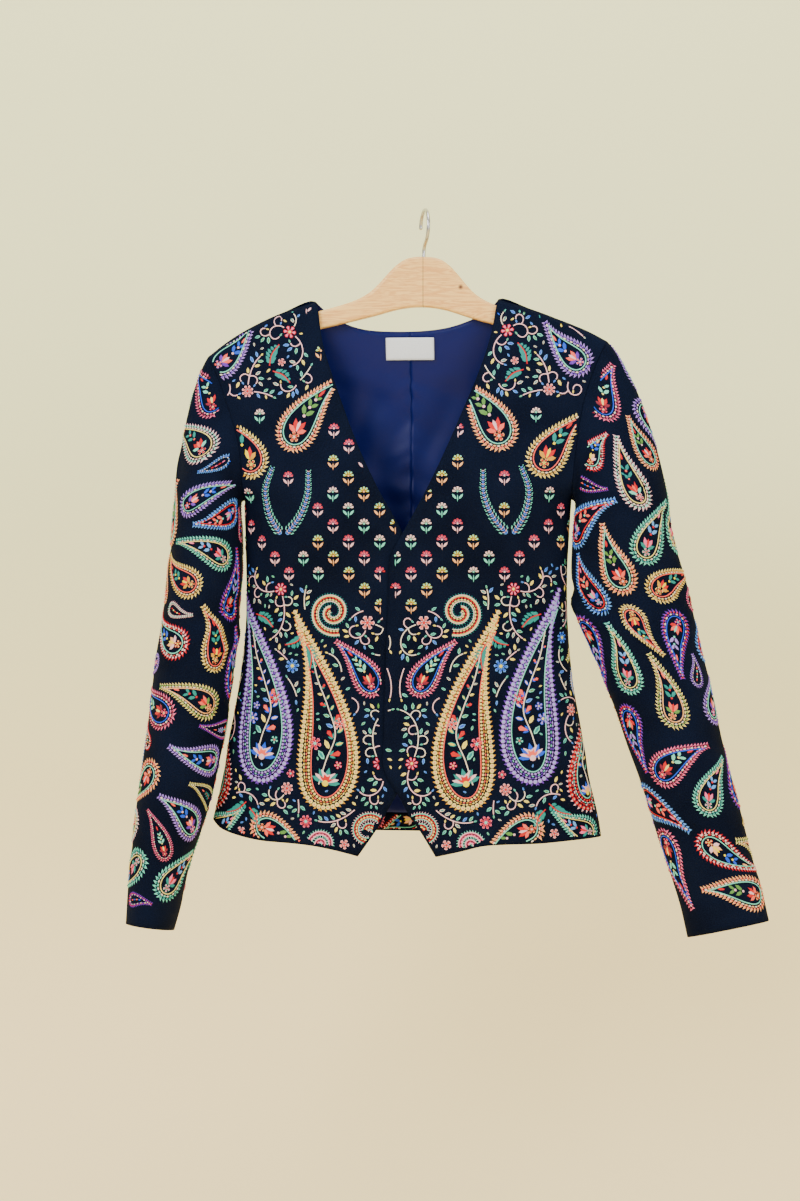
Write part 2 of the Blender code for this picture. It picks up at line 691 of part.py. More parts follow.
def lining_height(index, u):
    """The height of a lining row: it stops just below the neck edge and under the shoulder's roll."""
    levels = back_levels()
    if index <= len(LINING_BELOW_SHOULDER) and abs(u) > neck_corner() * (NECK_CORNER_SHARE - 0.01):
        return back_top(SHOULDER_HALF_WIDTH * spread(u)) - LINING_BELOW_SHOULDER[index - 1]
    return back_height(levels[index], u) + (SEAM_GAP if index == len(levels) - 2 else 0.0)


def lining_grid(side, inset):
    sign = 1 if side == "right" else -1
    seam_across = BACK_SEAM_ACROSS + sign * SEAM_GAP / 2
    columns = [u for u in inside_columns(side) if sign * u > 0.02]
    if side == "left":
        columns.insert(0, 0.0)
    grid = []
    for index in range(1, len(back_levels()) - 1):
        row = [body_point("back", "right", seam_across, lining_height(index, 0.0), inset)]
        row += [row_point("back", side, u, lining_height(index, u), inset) for u in columns]
        grid.append(row)
    return grid


def make_lining(side):
    outside = CLOTH_WALL + LAYER_GAP
    outer, inner = lining_grid(side, outside), lining_grid(side, outside + LINING_WALL)
    return wall(f"lining_{side}", outer, inner, "satin_lining")


def make_hem_facing():
    """The turned-up band of the jacket's own cloth inside the back hem."""
    outside = CLOTH_WALL + LAYER_GAP
    columns = list(reversed(inside_columns("left"))) + [0.0] + inside_columns("right")
    grids = []
    for inset in (outside, outside + CLOTH_WALL):
        grids.append([
            [
                row_point("back", "right" if u > 0 else "left", u, back_height(level, u), inset)
                for u in columns
            ]
            for level in back_levels()[-2:]
        ])
    return wall("back_hem_facing", grids[0], grids[1], "navy_cloth")


def make_label():
    """A blank woven label on the lining, over the back seam."""
    outside = CLOTH_WALL + LAYER_GAP + LINING_WALL + LAYER_GAP
    grids = []
    for inset in (outside, outside + LABEL_WALL):
        grid = []
        for r in range(LABEL_ROWS):
            height = LABEL_TOP - LABEL_DEPTH * r / (LABEL_ROWS - 1)
            row = []
            for c in range(LABEL_COLUMNS):
                across = BACK_SEAM_ACROSS + LABEL_WIDTH * (c / (LABEL_COLUMNS - 1) - 0.5)
                side = "right" if across > 0 else "left"
                row.append(body_point("back", side, across, height, inset))
            grid.append(row)
        grids.append(grid)
    return wall("label", grids[0], grids[1], "label_satin")


def make_hanger(frame):
    """A flat board cut to a hanger's outline, its edges rounded, bored for the hook."""
    rows = HANGER_OUTLINE
    outline = [(row.across, row.top) for row in rows] + [(row.across, row.bottom) for row in reversed(rows)]
    outline += [(-row.across, row.bottom) for row in rows[1:]]
    outline += [(-row.across, row.top) for row in reversed(rows[1:])]
    mesh = bmesh.new()
    half = HANGER_THICKNESS / 2
    front = mesh.faces.new([mesh.verts.new(Vector((x, -half, z)) * MM) for x, z in outline])
    extruded = bmesh.ops.extrude_face_region(mesh, geom=[front])
    moved = [item for item in extruded["geom"] if isinstance(item, bmesh.types.BMVert)]
    bmesh.ops.translate(mesh, verts=moved, vec=Vector((0, HANGER_THICKNESS, 0)) * MM)
    hanger = finish("hanger", mesh, "pine")
    bevel = hanger.modifiers.new("rounded edges", "BEVEL")
    bevel.width = HANGER_BEVEL * MM
    bevel.segments = 2
    bevel.limit_method = "ANGLE"
    bevel.angle_limit = math.radians(60)
    bpy.ops.mesh.primitive_cylinder_add(
        vertices=16,
        radius=(HOOK_WIRE / 2 + BORE_CLEARANCE) * MM,
        depth=BORE_LENGTH * MM,
        location=Vector((0, 0, BORE_FOOT + BORE_LENGTH / 2)) * MM,
    )
    bore = bpy.context.active_object
    bore.name = "hook_bore"
    bore.hide_render = True
    bore.display_type = "WIRE"
    cut = hanger.modifiers.new("hook bore", "BOOLEAN")
    cut.operation = "DIFFERENCE"
    cut.solver = "EXACT"
    cut.object = bore
    hanger.parent = frame
    bore.parent = frame
    return hanger


def hook_route():
    """Points of the wire from its foot in the hanger, round the crown, to its tip behind."""
    radius = HOOK_INSIDE_RADIUS + HOOK_WIRE / 2
    centre = -HOOK_INSIDE_RADIUS

    def on_ring(angle):
        return (radius * math.cos(angle), centre + radius * math.sin(angle))

    start = on_ring(HOOK_FRONT_END)
    heading = (-math.sin(HOOK_FRONT_END), math.cos(HOOK_FRONT_END))
    flat = [(0.0, SHAFT_FOOT), (0.0, (SHAFT_FOOT + SHAFT_TOP) / 2), (0.0, SHAFT_TOP)]
    reach = HOOK_BEND_PULL
    for step in range(1, HOOK_BEND_STEPS):
        t = step / HOOK_BEND_STEPS
        weights = (
            2 * t ** 3 - 3 * t ** 2 + 1, t ** 3 - 2 * t ** 2 + t, 3 * t ** 2 - 2 * t ** 3, t ** 3 - t ** 2
        )
        parts = ((0.0, SHAFT_TOP), (0.0, reach), start, (heading[0] * reach, heading[1] * reach))
        flat.append(tuple(sum(w * p[k] for w, p in zip(weights, parts)) for k in (0, 1)))
    for step in range(HOOK_RING_STEPS + 1):
        flat.append(on_ring(mix(HOOK_FRONT_END, HOOK_BACK_END, step / HOOK_RING_STEPS)))
    forward = Vector((math.sin(HOOK_YAW), -math.cos(HOOK_YAW), 0))
    return [forward * out + Vector((0, 0, up)) for out, up in flat]


def make_hook(frame):
    curve = bpy.data.curves.new("hook", "CURVE")
    curve.dimensions = "3D"
    curve.bevel_depth = HOOK_WIRE / 2 * MM
    curve.bevel_resolution = 2
    curve.use_fill_caps = True
    points = hook_route()
    spline = curve.splines.new("POLY")
    spline.points.add(len(points) - 1)
    for knot, point in zip(spline.points, points):
        knot.co = (*(point * MM), 1.0)
    curve.materials.append(material_for("hook_steel"))
    hook = bpy.data.objects.new("hook", curve)
    bpy.context.collection.objects.link(hook)
    hook.parent = frame
    return hook


def main():
    for old in list(bpy.data.objects):
        bpy.data.objects.remove(old)
    frame = bpy.data.objects.new("hanger_tilt", None)
    frame.rotation_euler = (0, HANGER_ROLL, 0)
    bpy.context.collection.objects.link(frame)
    for side in ("left", "right"):
        make_front(side)
        make_sleeve(side)
        make_lining(side)
    make_back()
    make_hem_facing()
    make_label()
    make_hanger(frame)
    make_hook(frame)


main()
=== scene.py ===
"""An embroidered, collarless, V-necked jacket hanging on a flat wooden hanger, in a plain pale studio.

Sizes in the tables are millimetres: "across" is measured from the jacket's centre line (minus to the
wearer's right, which is the viewer's left), "height" from the inside top of the hanger's hook.
"""

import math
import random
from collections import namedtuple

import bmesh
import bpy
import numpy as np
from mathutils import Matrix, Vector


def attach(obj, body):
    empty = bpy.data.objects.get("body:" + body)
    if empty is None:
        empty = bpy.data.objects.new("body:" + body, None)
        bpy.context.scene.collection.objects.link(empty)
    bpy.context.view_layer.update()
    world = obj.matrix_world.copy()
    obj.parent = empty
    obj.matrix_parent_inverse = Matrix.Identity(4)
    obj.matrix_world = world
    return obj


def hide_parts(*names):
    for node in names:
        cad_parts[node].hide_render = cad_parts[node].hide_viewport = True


bl_info = {
    "name": "Embroidered Jacket on a Hanger",
    "version": (1, 0, 0),
    "blender": (4, 5, 0),
    "location": "3D View > Sidebar > Jacket",
    "description": "Makes an embroidered collarless jacket, its wooden hanger and a plain studio",
    "category": "Add Mesh",
}

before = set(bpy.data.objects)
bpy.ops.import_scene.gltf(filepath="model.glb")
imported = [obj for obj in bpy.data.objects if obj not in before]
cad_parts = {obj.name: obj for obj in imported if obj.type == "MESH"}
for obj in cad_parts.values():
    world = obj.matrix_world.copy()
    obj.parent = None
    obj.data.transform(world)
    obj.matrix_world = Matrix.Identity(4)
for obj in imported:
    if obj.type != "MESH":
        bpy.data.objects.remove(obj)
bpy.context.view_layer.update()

MM = 0.001
SIDE_SIGNS = {"left": -1, "right": 1}


def table(kind, *rows):
    """Rows of values, each under the named columns of its kind."""
    return tuple(kind(*row) for row in rows)


# Cloth and seams
CLOTH_WALL = 1.5
LINING_WALL = 1.0
LABEL_WALL = 1.0
SEAM_GAP = 0.3
SLEEVE_SEAM_GAP = 0.38
LAYER_GAP = 0.5
LAP_STEP = 2.3
LAP_EASE = 18.0
LAP_CLEARANCE = 3.0

# Where the jacket hangs and how it fills out
GARMENT_CENTRE_X = -19.0
SHOULDER_ROLL = 9.5
NECK_HALF_WIDTH = 95.5
SHOULDER_HALF_WIDTH = 208.0
SECTION_POWER = 2.2
UNDERARM_HEIGHT = -300.0
UNDERARM_SCOOP = 36.0
ARMHOLE_DEPTH = {"front": 30.0, "back": 28.0}
EASE_LENGTH = {"front": 190.0, "back": 125.0}
BUST_ACROSS, BUST_HEIGHT, BUST_FULLNESS = 84.0, -312.0, 5.0
BUST_WIDTH, BUST_LENGTH = 50.0, 62.0

# Linings, facing and label on the inside of the back
BACK_SEAM_ACROSS = 2.5
LINING_BELOW_SHOULDER = (8.9, 9.2)
FACING_WIDTH = 19.0
LABEL_WIDTH, LABEL_DEPTH, LABEL_TOP = 50.0, 22.5, -130.0
LABEL_ROWS, LABEL_COLUMNS = 3, 7

# Hanger and hook
HANGER_ROLL = math.radians(1.5)
HANGER_THICKNESS = 12.0
HANGER_BEVEL = 3.0
HOOK_WIRE = 3.8
HOOK_INSIDE_RADIUS = 16.0
HOOK_YAW = math.radians(17.0)
HOOK_FRONT_END, HOOK_BACK_END = math.radians(-65.0), math.radians(182.0)
HOOK_RING_STEPS = 26
HOOK_BEND_STEPS, HOOK_BEND_PULL = 6, 11.0
SHAFT_TOP, SHAFT_FOOT = -41.0, -61.5

EdgePoint = namedtuple("EdgePoint", "height across")
ShoulderRow = namedtuple("ShoulderRow", "across left right")
DepthRow = namedtuple("DepthRow", "height front back")
HemRow = namedtuple("HemRow", "across height")
PanelRow = namedtuple("PanelRow", "centre side")
SleeveRow = namedtuple("SleeveRow", "height outer inner tilt forward depth")
HangerRow = namedtuple("HangerRow", "across top bottom")

# The shoulder seam's height at each distance from the centre, on either side
SHOULDER_LINE = table(
    ShoulderRow, (95.5, -92.3, -91.3), (131, -104.0, -102.5), (164, -119.2, -115.3),
    (187, -133.0, -124.8), (208, -149.0, -136.0),
)

# Half widths down the armhole and then the side seam
SIDE_EDGE = {
    "left": table(
        EdgePoint, (-149, 208), (-158, 203), (-172, 196.5), (-190, 190), (-212, 182), (-232, 176),
        (-252, 171.5), (-275, 169.5), (-300, 169.5), (-340, 169), (-404, 167.5), (-455, 171),
        (-489, 175), (-515, 179.5), (-549, 186.5), (-571, 189.5), (-601, 195.5), (-632, 203),
        (-650, 206),
    ),
    "right": table(
        EdgePoint, (-136, 208), (-148, 202), (-162, 196), (-180, 189.5), (-200, 184), (-220, 180),
        (-250, 176), (-280, 173), (-300, 171), (-340, 168.5), (-404, 166), (-455, 169.5), (-489, 172.5),
        (-515, 175.5), (-549, 184), (-571, 186.5), (-601, 192), (-640, 201), (-650, 202),
    ),
}

# How far the middle of the front and the back stand from the hanger's plane
CENTRE_DEPTH = table(
    DepthRow, (-90, 47, 35), (-200, 50, 37), (-320, 51, 39), (-410, 45, 37), (-500, 46, 40),
    (-600, 49, 44), (-670, 51, 46),
)

# The neck edge, then the lapped edge, then the cut-away point of each front
CENTRE_EDGE = {
    "right": table(
        EdgePoint, (-91.3, 95.5), (-102, 93.2), (-123, 89.8), (-157, 80.2), (-184, 70.4), (-212, 59),
        (-253, 42), (-294, 22.3), (-334.5, 0), (-356, -11.5), (-381, -13.5), (-404, -15.4), (-442, -17),
        (-477, -18.6), (-573, -20.2), (-595, -10.4), (-604, -4.5), (-621, 4.5), (-639, 17),
        (-666, 33.5),
    ),
    "left": table(
        EdgePoint, (-92.3, -95.5), (-100, -92.2), (-122, -89.2), (-149, -83.6), (-176, -73.6),
        (-204, -63.2), (-234, -51.5), (-264, -38.2), (-300, -20), (-334.5, -1), (-356, 6), (-404, 10),
        (-500, 10), (-555, 8.5), (-585, 3), (-604, -7.4), (-621, -17.2), (-640, -28.4), (-661, -41),
        (-666, -46.5),
    ),
}

FRONT_HEM = {
    "left": table(
        HemRow, (-46.5, -666), (-85.5, -657), (-117, -653.4), (-141, -652), (-187.5, -642),
        (-203, -631.5),
    ),
    "right": table(
        HemRow, (33.5, -666), (59, -660.5), (90.5, -654), (138, -652.7), (169, -650.2), (202, -647.5),
    ),
}
BACK_HEM = table(
    HemRow, (-203, -631.5), (-150, -641), (-60, -646), (60, -647), (202, -647.5),
)
BACK_NECK = table(
    HemRow, (-95.5, -92.3), (-84, -103.5), (-66, -114.4), (-51, -119.7), (-33.7, -122.4), (-4, -123.4),
    (19, -122.6), (43, -119.3), (65.5, -112.2), (84, -102.5), (95.5, -91.3),
)

# Rows of each panel below the shoulder roll. At the side 0 to 1 runs down the armhole, 1 to 2 the side seam.
FRONT_ROWS = table(
    PanelRow, (-118, 0.12), (-140, 0.22), (-170, 0.35), (-205, 0.48), (-240, 0.62), (-272, 0.76),
    (-298, 0.88), (-314, 0.945), (-326, 0.985), (-334.5, 1.0), (-356, 1.08), (-404, 1.22), (-450, 1.36),
    (-505, 1.52), (-545, 1.66), (-573, 1.75), (-595, 1.81), (-604, 1.845), (-621, 1.89), (-639, 1.945),
)
BACK_ROWS = table(
    PanelRow, (-139, 0.12), (-148, 0.22), (-166, 0.35), (-192, 0.48), (-224, 0.62), (-256, 0.76),
    (-282, 0.88), (-295, 0.945), (-303, 0.985), (-309, 1.0), (-336, 1.1), (-380, 1.23), (-430, 1.38),
    (-485, 1.54), (-535, 1.68), (-585, 1.82),
)
ROLL_DROPS = (1.3, 4.8, 9.5)
FRONT_COLUMNS = 13
BACK_NECK_COLUMNS = 7
NECK_CORNER_SHARE = 0.955
BACK_SIDE_COLUMNS = 6

# The sleeve's outline seen from the front, from the first whole ring down to the cuff. "forward" is how
# far its middle hangs in front of the hanger, "depth" half its size front to back, "tilt" in degrees.
SLEEVE_ROWS = {
    "left": table(
        SleeveRow, (-335, 245.5, 172.0, 3.0, 4, 55), (-381, 250.0, 172.3, 4.0, 5, 54),
        (-428, 255.2, 175.2, 6.0, 7, 52), (-466, 261.5, 179.0, 7.0, 10, 50),
        (-500, 265.0, 182.6, 7.0, 13, 48.5), (-534, 268.6, 187.0, 7.5, 16, 47),
        (-568, 272.6, 193.4, 8.5, 20, 45.5), (-603, 277.0, 200.6, 9.0, 24, 44),
        (-636, 281.0, 209.6, 9.5, 28, 43), (-662, 283.5, 218.6, 9.5, 31, 42),
        (-690, 285.4, 226.6, 9.0, 34, 41.5), (-714, 286.6, 230.6, 9.0, 36, 41.5),
        (-741, 287.6, 238.6, 8.0, 39, 41.5),
    ),
    "right": table(
        SleeveRow, (-335, 275.0, 172.4, 3.0, 4, 43), (-370, 285.0, 171.0, 5.0, 5, 37),
        (-404, 294.0, 170.4, 10.0, 6, 31), (-434, 299.8, 183.4, 14.0, 8, 36),
        (-466, 307.8, 194.6, 15.0, 10, 38.5), (-500, 316.2, 210.8, 16.0, 13, 40.5),
        (-538, 323.4, 223.0, 16.0, 16, 41), (-575, 332.2, 237.2, 16.0, 20, 40.5),
        (-619, 344.3, 251.2, 16.0, 25, 38.5), (-646, 350.4, 259.6, 16.0, 28, 36.5),
        (-674, 357.7, 269.6, 16.0, 31, 34.5), (-706, 367.4, 279.4, 15.0, 35, 31.5),
        (-738, 374.0, 289.6, 12.0, 39, 29),
    ),
}
SLEEVE_PITCH = 0.08

# The column of the armhole loop at each end of a sleeve part: 13 is the underarm, 22 the back of the arm
SLEEVE_PARTS = {"top": (22, 13), "under": (13, 22)}
SLEEVE_FITTING_PASSES = 8

# The sleeve head: its rings between the armhole and the first whole ring, how steeply it leaves the
# armhole at the top, elsewhere and under the arm, and how strongly it keeps each end's direction
CAP_STEPS = (0.05, 0.17, 0.34, 0.54, 0.77)
CAP_TOP_FALL = {"left": 0.95, "right": 0.62}
CAP_SIDE_FALL = 0.3
CAP_UNDER_FALL = -0.2
CAP_TOP_OUT, CAP_SIDE_OUT = 0.6, 0.9
CAP_FORWARD = 0.3
CAP_START_PULL, CAP_END_PULL = 0.75, 0.7
SLEEVE_HANG = Vector((0.06, -0.02, -1.0))

# Down the first rings the points move most of the way from the armhole's spacing to even spacing
EVEN_SHARE, EVEN_RINGS = 0.7, 4

HANGER_OUTLINE = table(
    HangerRow, (0, -47.0, -99.2), (9, -47.4, -99.6), (18, -49.6, -100.8), (27, -55.5, -102.6),
    (36, -64.5, -105.2), (45, -75.0, -108.0), (54, -84.0, -110.6), (64, -90.6, -113.2),
    (77, -96.2, -116.6), (96, -102.2, -121.4), (118, -108.6, -127.2), (142, -116.4, -133.6),
    (166, -125.0, -140.2), (182, -132.8, -144.6), (189, -136.6, -145.4), (192.5, -139.8, -143.4),
)


def smooth_curve(pairs, at):
    """The value at one place on a smooth curve through (place, value) pairs, straight past its ends."""
    pairs = sorted(pairs)
    if at <= pairs[0][0]:
        return pairs[0][1]
    if at >= pairs[-1][0]:
        return pairs[-1][1]
    index = next(i for i in range(len(pairs) - 1) if at <= pairs[i + 1][0])

    def slope(i):
        if i <= 0 or i >= len(pairs) - 1:
            i = min(max(i, 0), len(pairs) - 2)
            return (pairs[i + 1][1] - pairs[i][1]) / (pairs[i + 1][0] - pairs[i][0])
        before = (pairs[i][1] - pairs[i - 1][1]) / (pairs[i][0] - pairs[i - 1][0])
        after = (pairs[i + 1][1] - pairs[i][1]) / (pairs[i + 1][0] - pairs[i][0])
        if before * after <= 0:
            return 0.0
        return 2 * before * after / (before + after)

    (x0, y0), (x1, y1) = pairs[index], pairs[index + 1]
    span = x1 - x0
    return eased_between((at - x0) / span, y0, span * slope(index), y1, span * slope(index + 1))


def eased_between(t, start, leaving, end, arriving):
    """The place at t on the smooth curve that leaves its start and reaches its end at these slopes."""
    return (
        start * (2 * t ** 3 - 3 * t ** 2 + 1)
        + leaving * (t ** 3 - 2 * t ** 2 + t)
        + end * (3 * t ** 2 - 2 * t ** 3)
        + arriving * (t ** 3 - t ** 2)
    )


def smooth_step(t):
    t = min(max(t, 0.0), 1.0)
    return t * t * (3 - 2 * t)


def mix(a, b, t):
    return a + (b - a) * t


def side_of(across):
    return "right" if across > 0 else "left"


def shoulder_height(side, across):
    """The height of the shoulder line, level inside the neck."""
    rows = [(row.across, getattr(row, side)) for row in SHOULDER_LINE]
    return smooth_curve(rows, abs(across))


def side_reach(side, height):
    """The half width to the armhole edge or the side seam at a height."""
    return smooth_curve(SIDE_EDGE[side], height)


def armhole_depth(face, height):
    """How far the outer edge stands from the middle plane: an upright armhole with a scooped foot."""
    if height <= UNDERARM_HEIGHT:
        return 0.0
    scoop_top = UNDERARM_HEIGHT + UNDERARM_SCOOP
    fall = min(max((scoop_top - height) / UNDERARM_SCOOP, 0.0), 1.0)
    return ARMHOLE_DEPTH[face] * math.sqrt(1 - fall ** 2)


def spread(u):
    """The share of the half width reached at u, from -1 to 1, with points closer towards the side."""
    return math.copysign(math.sin(abs(u) * math.pi / 2) ** (2 / SECTION_POWER), u)


def unspread(share):
    share = min(max(share, -1.0), 1.0)
    return math.copysign(math.asin(abs(share) ** (SECTION_POWER / 2)) / (math.pi / 2), share)


def centre_edge(side, height):
    return smooth_curve(CENTRE_EDGE[side], height)


def bust(side, across, height):
    if across * SIDE_SIGNS[side] < 0:
        return 0.0
    wide = (abs(across) - BUST_ACROSS) / BUST_WIDTH
    tall = (height - BUST_HEIGHT) / BUST_LENGTH
    return BUST_FULLNESS * math.exp(-(wide ** 2) - tall ** 2)


def body_depth(face, side, across, height, inset):
    """How far a point of the torso stands from the hanger's plane."""
    reach = side_reach(side, height) - inset
    edge = armhole_depth(face, height)
    full_edge = ARMHOLE_DEPTH[face]
    openness = edge / full_edge
    edge -= inset * openness
    centre = smooth_curve([(row.height, getattr(row, face)) for row in CENTRE_DEPTH], height) - inset
    if face == "front":
        centre += bust(side, across, height)
    share = min(abs(across) / reach, 1.0)
    power = mix(SECTION_POWER, 1.0, openness)
    full = edge + (centre - edge) * max(1 - share ** SECTION_POWER, 0.0) ** (1 / power)
    roll_radius = SHOULDER_ROLL - inset
    drop = max(shoulder_height(side, across) - inset - height, 0.0)
    roll = math.sqrt(1 - (1 - min(drop / roll_radius, 1.0)) ** 2)
    eased = smooth_step(drop / EASE_LENGTH[face])
    if full > roll_radius:
        depth = roll_radius * roll + (full - roll_radius) * eased
    else:
        depth = mix(roll_radius, full, eased) * roll
    if face == "front" and side == "left":
        lap = 1 + (across + LAP_EASE - centre_edge("right", height)) / LAP_EASE
        depth -= LAP_STEP * smooth_step(lap)
    return max(depth, SEAM_GAP / 2)


def body_point(face, side, across, height, inset):
    """A point on the torso. Inside points on the shoulder's roll also drop by the wall."""
    drop = shoulder_height(side, across) - height
    lowered = height - inset * max(1 - drop / SHOULDER_ROLL, 0.0)
    depth = body_depth(face, side, across, lowered, inset)
    return Vector((GARMENT_CENTRE_X + across, -depth if face == "front" else depth, lowered))


def side_height(side, place):
    """The height on the outer edge at 0 to 1 down the armhole, then 1 to 2 down the side seam."""
    shoulder = SHOULDER_LINE[-1]
    top = getattr(shoulder, side)
    hem = FRONT_HEM[side][-1].height
    if place <= 1:
        return mix(top, UNDERARM_HEIGHT, place)
    return mix(UNDERARM_HEIGHT, hem, place - 1)


def row_point(face, side, u, height, inset):
    reach = side_reach(side, height) - inset
    return body_point(face, side, reach * spread(u), height, inset)


def front_grid(side, inset):
    """Rows of points from the shoulder seam to the hem, each from the centre edge to the outer edge."""
    sign = SIDE_SIGNS[side]
    hem = [(abs(row.across) if sign * row.across > 0 else 0.0, row.height) for row in FRONT_HEM[side]]
    hem_in, hem_out = abs(FRONT_HEM[side][0].across), abs(FRONT_HEM[side][-1].across)
    top_in, top_out = NECK_HALF_WIDTH, SHOULDER_HALF_WIDTH
    corner = shoulder_height(side, top_in)
    outer_corner = shoulder_height(side, top_out)
    levels = [(corner - drop, outer_corner - drop) for drop in (0.0,) + ROLL_DROPS]
    levels += [(row.centre, side_height(side, row.side)) for row in FRONT_ROWS]
    levels.append((FRONT_HEM[side][0].height, FRONT_HEM[side][-1].height))
    grid = []
    for centre_height, outer_height in levels:
        t = (centre_height - corner) / (levels[-1][0] - corner)
        points = []
        for column in range(FRONT_COLUMNS):
            s = column / (FRONT_COLUMNS - 1)
            top_u = mix(unspread(top_in / top_out), 1.0, s)
            top_bow = shoulder_height(side, top_out * spread(top_u)) - mix(corner, outer_corner, s)
            hem_u = mix(unspread(hem_in / hem_out), 1.0, s)
            hem_bow = smooth_curve(hem, hem_out * spread(hem_u)) - mix(hem[0][1], hem[-1][1], s)
            height = mix(centre_height, outer_height, s) + top_bow * (1 - t) ** 2 + hem_bow * t ** 3
            edge_across = centre_edge(side, height if column == 0 else centre_height)
            reach = side_reach(side, height) - inset
            start_u = unspread(edge_across / reach)
            if column == 0:
                points.append(body_point("front", side, edge_across, height, inset))
            else:
                points.append(row_point("front", side, mix(start_u, sign * 1.0, s), height, inset))
        grid.append(points)
    return grid


def back_top(across):
    if abs(across) >= NECK_HALF_WIDTH:
        return shoulder_height(side_of(across), across)
    return smooth_curve(BACK_NECK, across)


def neck_corner():
    return unspread(NECK_HALF_WIDTH / SHOULDER_HALF_WIDTH)


def back_columns():
    """Places across the back, from the left side to the right, with one on each neck corner."""
    inner = [neck_corner() * i / BACK_NECK_COLUMNS for i in range(BACK_NECK_COLUMNS)]
    inner += [neck_corner() * NECK_CORNER_SHARE, neck_corner()]
    outer = [mix(neck_corner(), 1.0, (i + 1) / BACK_SIDE_COLUMNS) for i in range(BACK_SIDE_COLUMNS)]
    right = inner + outer
    return [-u for u in reversed(right[1:])] + right


def back_foot(u):
    return smooth_curve(BACK_HEM, BACK_HEM[-1].across * spread(u))


def back_levels():
    """The back's rows as (kind, centre, side), from the neck and shoulders down to the hem."""
    levels = [("roll", drop, drop) for drop in (0.0,) + ROLL_DROPS]
    levels += [("row", row.centre, row.side) for row in BACK_ROWS]
    return levels + [("hem", FACING_WIDTH, 0.0), ("hem", 0.0, 0.0)]


def back_height(level, u):
    """The height of one row of the back at u."""
    kind, centre, outer = level
    side = side_of(u)
    top = back_top(SHOULDER_HALF_WIDTH * spread(u))
    if kind == "roll":
        return top - centre
    if kind == "hem":
        return back_foot(u) + centre
    blend = abs(u) ** 1.5
    t = (centre - back_top(0.0)) / (back_foot(0.0) - back_top(0.0))
    top_bow = top - mix(back_top(0.0), getattr(SHOULDER_LINE[-1], side), blend)
    hem_bow = back_foot(u) - mix(back_foot(0.0), back_foot(math.copysign(1.0, u)), blend)
    return mix(centre, side_height(side, outer), blend) + top_bow * (1 - t) ** 4 + hem_bow * t ** 3


def back_grid(inset):
    return [
        [row_point("back", side_of(u), u, back_height(level, u), inset) for u in back_columns()]
        for level in back_levels()
    ]


def armhole_loop(side, inset, inwards=0):
    """Panel points round the armhole, so many columns in: shoulder, down the front, underarm, up the back."""
    front = [row[-1 - inwards] for row in front_grid(side, inset)]
    back = [row[-1 - inwards if side == "right" else inwards] for row in back_grid(inset)]
    foot = len(ROLL_DROPS) + 1 + next(i for i, row in enumerate(FRONT_ROWS) if row.side == 1.0)
    top = (front[0] + back[0]) / 2
    under = (front[foot + inwards] + back[foot + inwards]) / 2
    return [top] + front[1:foot] + [under] + back[foot - 1:0:-1]


def loop_angles(loop):
    """The angle round the sleeve for each point of the armhole: 0 outside, 90 in front, 180 inside."""
    count = len(loop)
    half = count // 2
    lengths = [(loop[(i + 1) % count] - loop[i]).length for i in range(count)]
    angles = []
    for i in range(count):
        if i <= half:
            angles.append(math.pi * sum(lengths[:i]) / sum(lengths[:half]))
        else:
            angles.append(math.pi * (1 + sum(lengths[half:i]) / sum(lengths[half:])))
    return angles


def sleeve_ring(side, row, angles):
    """One ring of the sleeve, tilted so that it meets both outlines."""
    sign = SIDE_SIGNS[side]
    rows = SLEEVE_ROWS[side]
    tilt = math.radians(row.tilt)
    half = (row.outer - row.inner) / 2
    for _ in range(SLEEVE_FITTING_PASSES):
        outer = smooth_curve([(r.height, r.outer) for r in rows], row.height + half * math.sin(tilt))
        inner = smooth_curve([(r.height, r.inner) for r in rows], row.height - half * math.sin(tilt))
        half = (outer - inner) / 2 / math.cos(tilt)
    middle = (outer + inner) / 2
    ring = []
    for angle in angles:
        out, front = half * math.cos(angle), row.depth * math.sin(angle)
        ring.append(Vector((
            GARMENT_CENTRE_X + sign * (middle + out * math.cos(tilt)),
            -row.forward - front,
            row.height + out * math.sin(tilt) + front * SLEEVE_PITCH,
        )))
    return ring


def cap_start(side, angle):
    """The direction in which the sleeve leaves the armhole."""
    sign = SIDE_SIGNS[side]
    top, under = max(math.cos(angle), 0.0), max(-math.cos(angle), 0.0)
    out = mix(CAP_SIDE_OUT, CAP_TOP_OUT, top)
    fall = CAP_SIDE_FALL + (CAP_TOP_FALL[side] - CAP_SIDE_FALL) * top
    fall += (CAP_UNDER_FALL - CAP_SIDE_FALL) * under
    return Vector((sign * out, -CAP_FORWARD * math.sin(angle), -fall)).normalized()


def sleeve_rings(side):
    """The rings of the sleeve's outside, from the armhole to the cuff."""
    sign = SIDE_SIGNS[side]
    loop = armhole_loop(side, 0.0)
    count = len(loop)
    angles = loop_angles(loop)
    even = [2 * math.pi * i / count for i in range(count)]
    rows = SLEEVE_ROWS[side]
    first = sleeve_ring(side, rows[0], angles)
    hang = Vector((sign * SLEEVE_HANG.x, SLEEVE_HANG.y, SLEEVE_HANG.z)).normalized()
    rings = []
    for t in CAP_STEPS:
        ring = []
        for i in range(count):
            span = (first[i] - loop[i]).length
            start = cap_start(side, angles[i]) * span * CAP_START_PULL
            end = hang * span * CAP_END_PULL
            ring.append(eased_between(t, loop[i], start, first[i], end))
        rings.append(ring)
    for index, row in enumerate(rows):
        share = EVEN_SHARE * smooth_step(index / EVEN_RINGS)
        mixed = [mix(a, b, share) for a, b in zip(angles, even)]
        rings.append(sleeve_ring(side, row, mixed))
    return rings


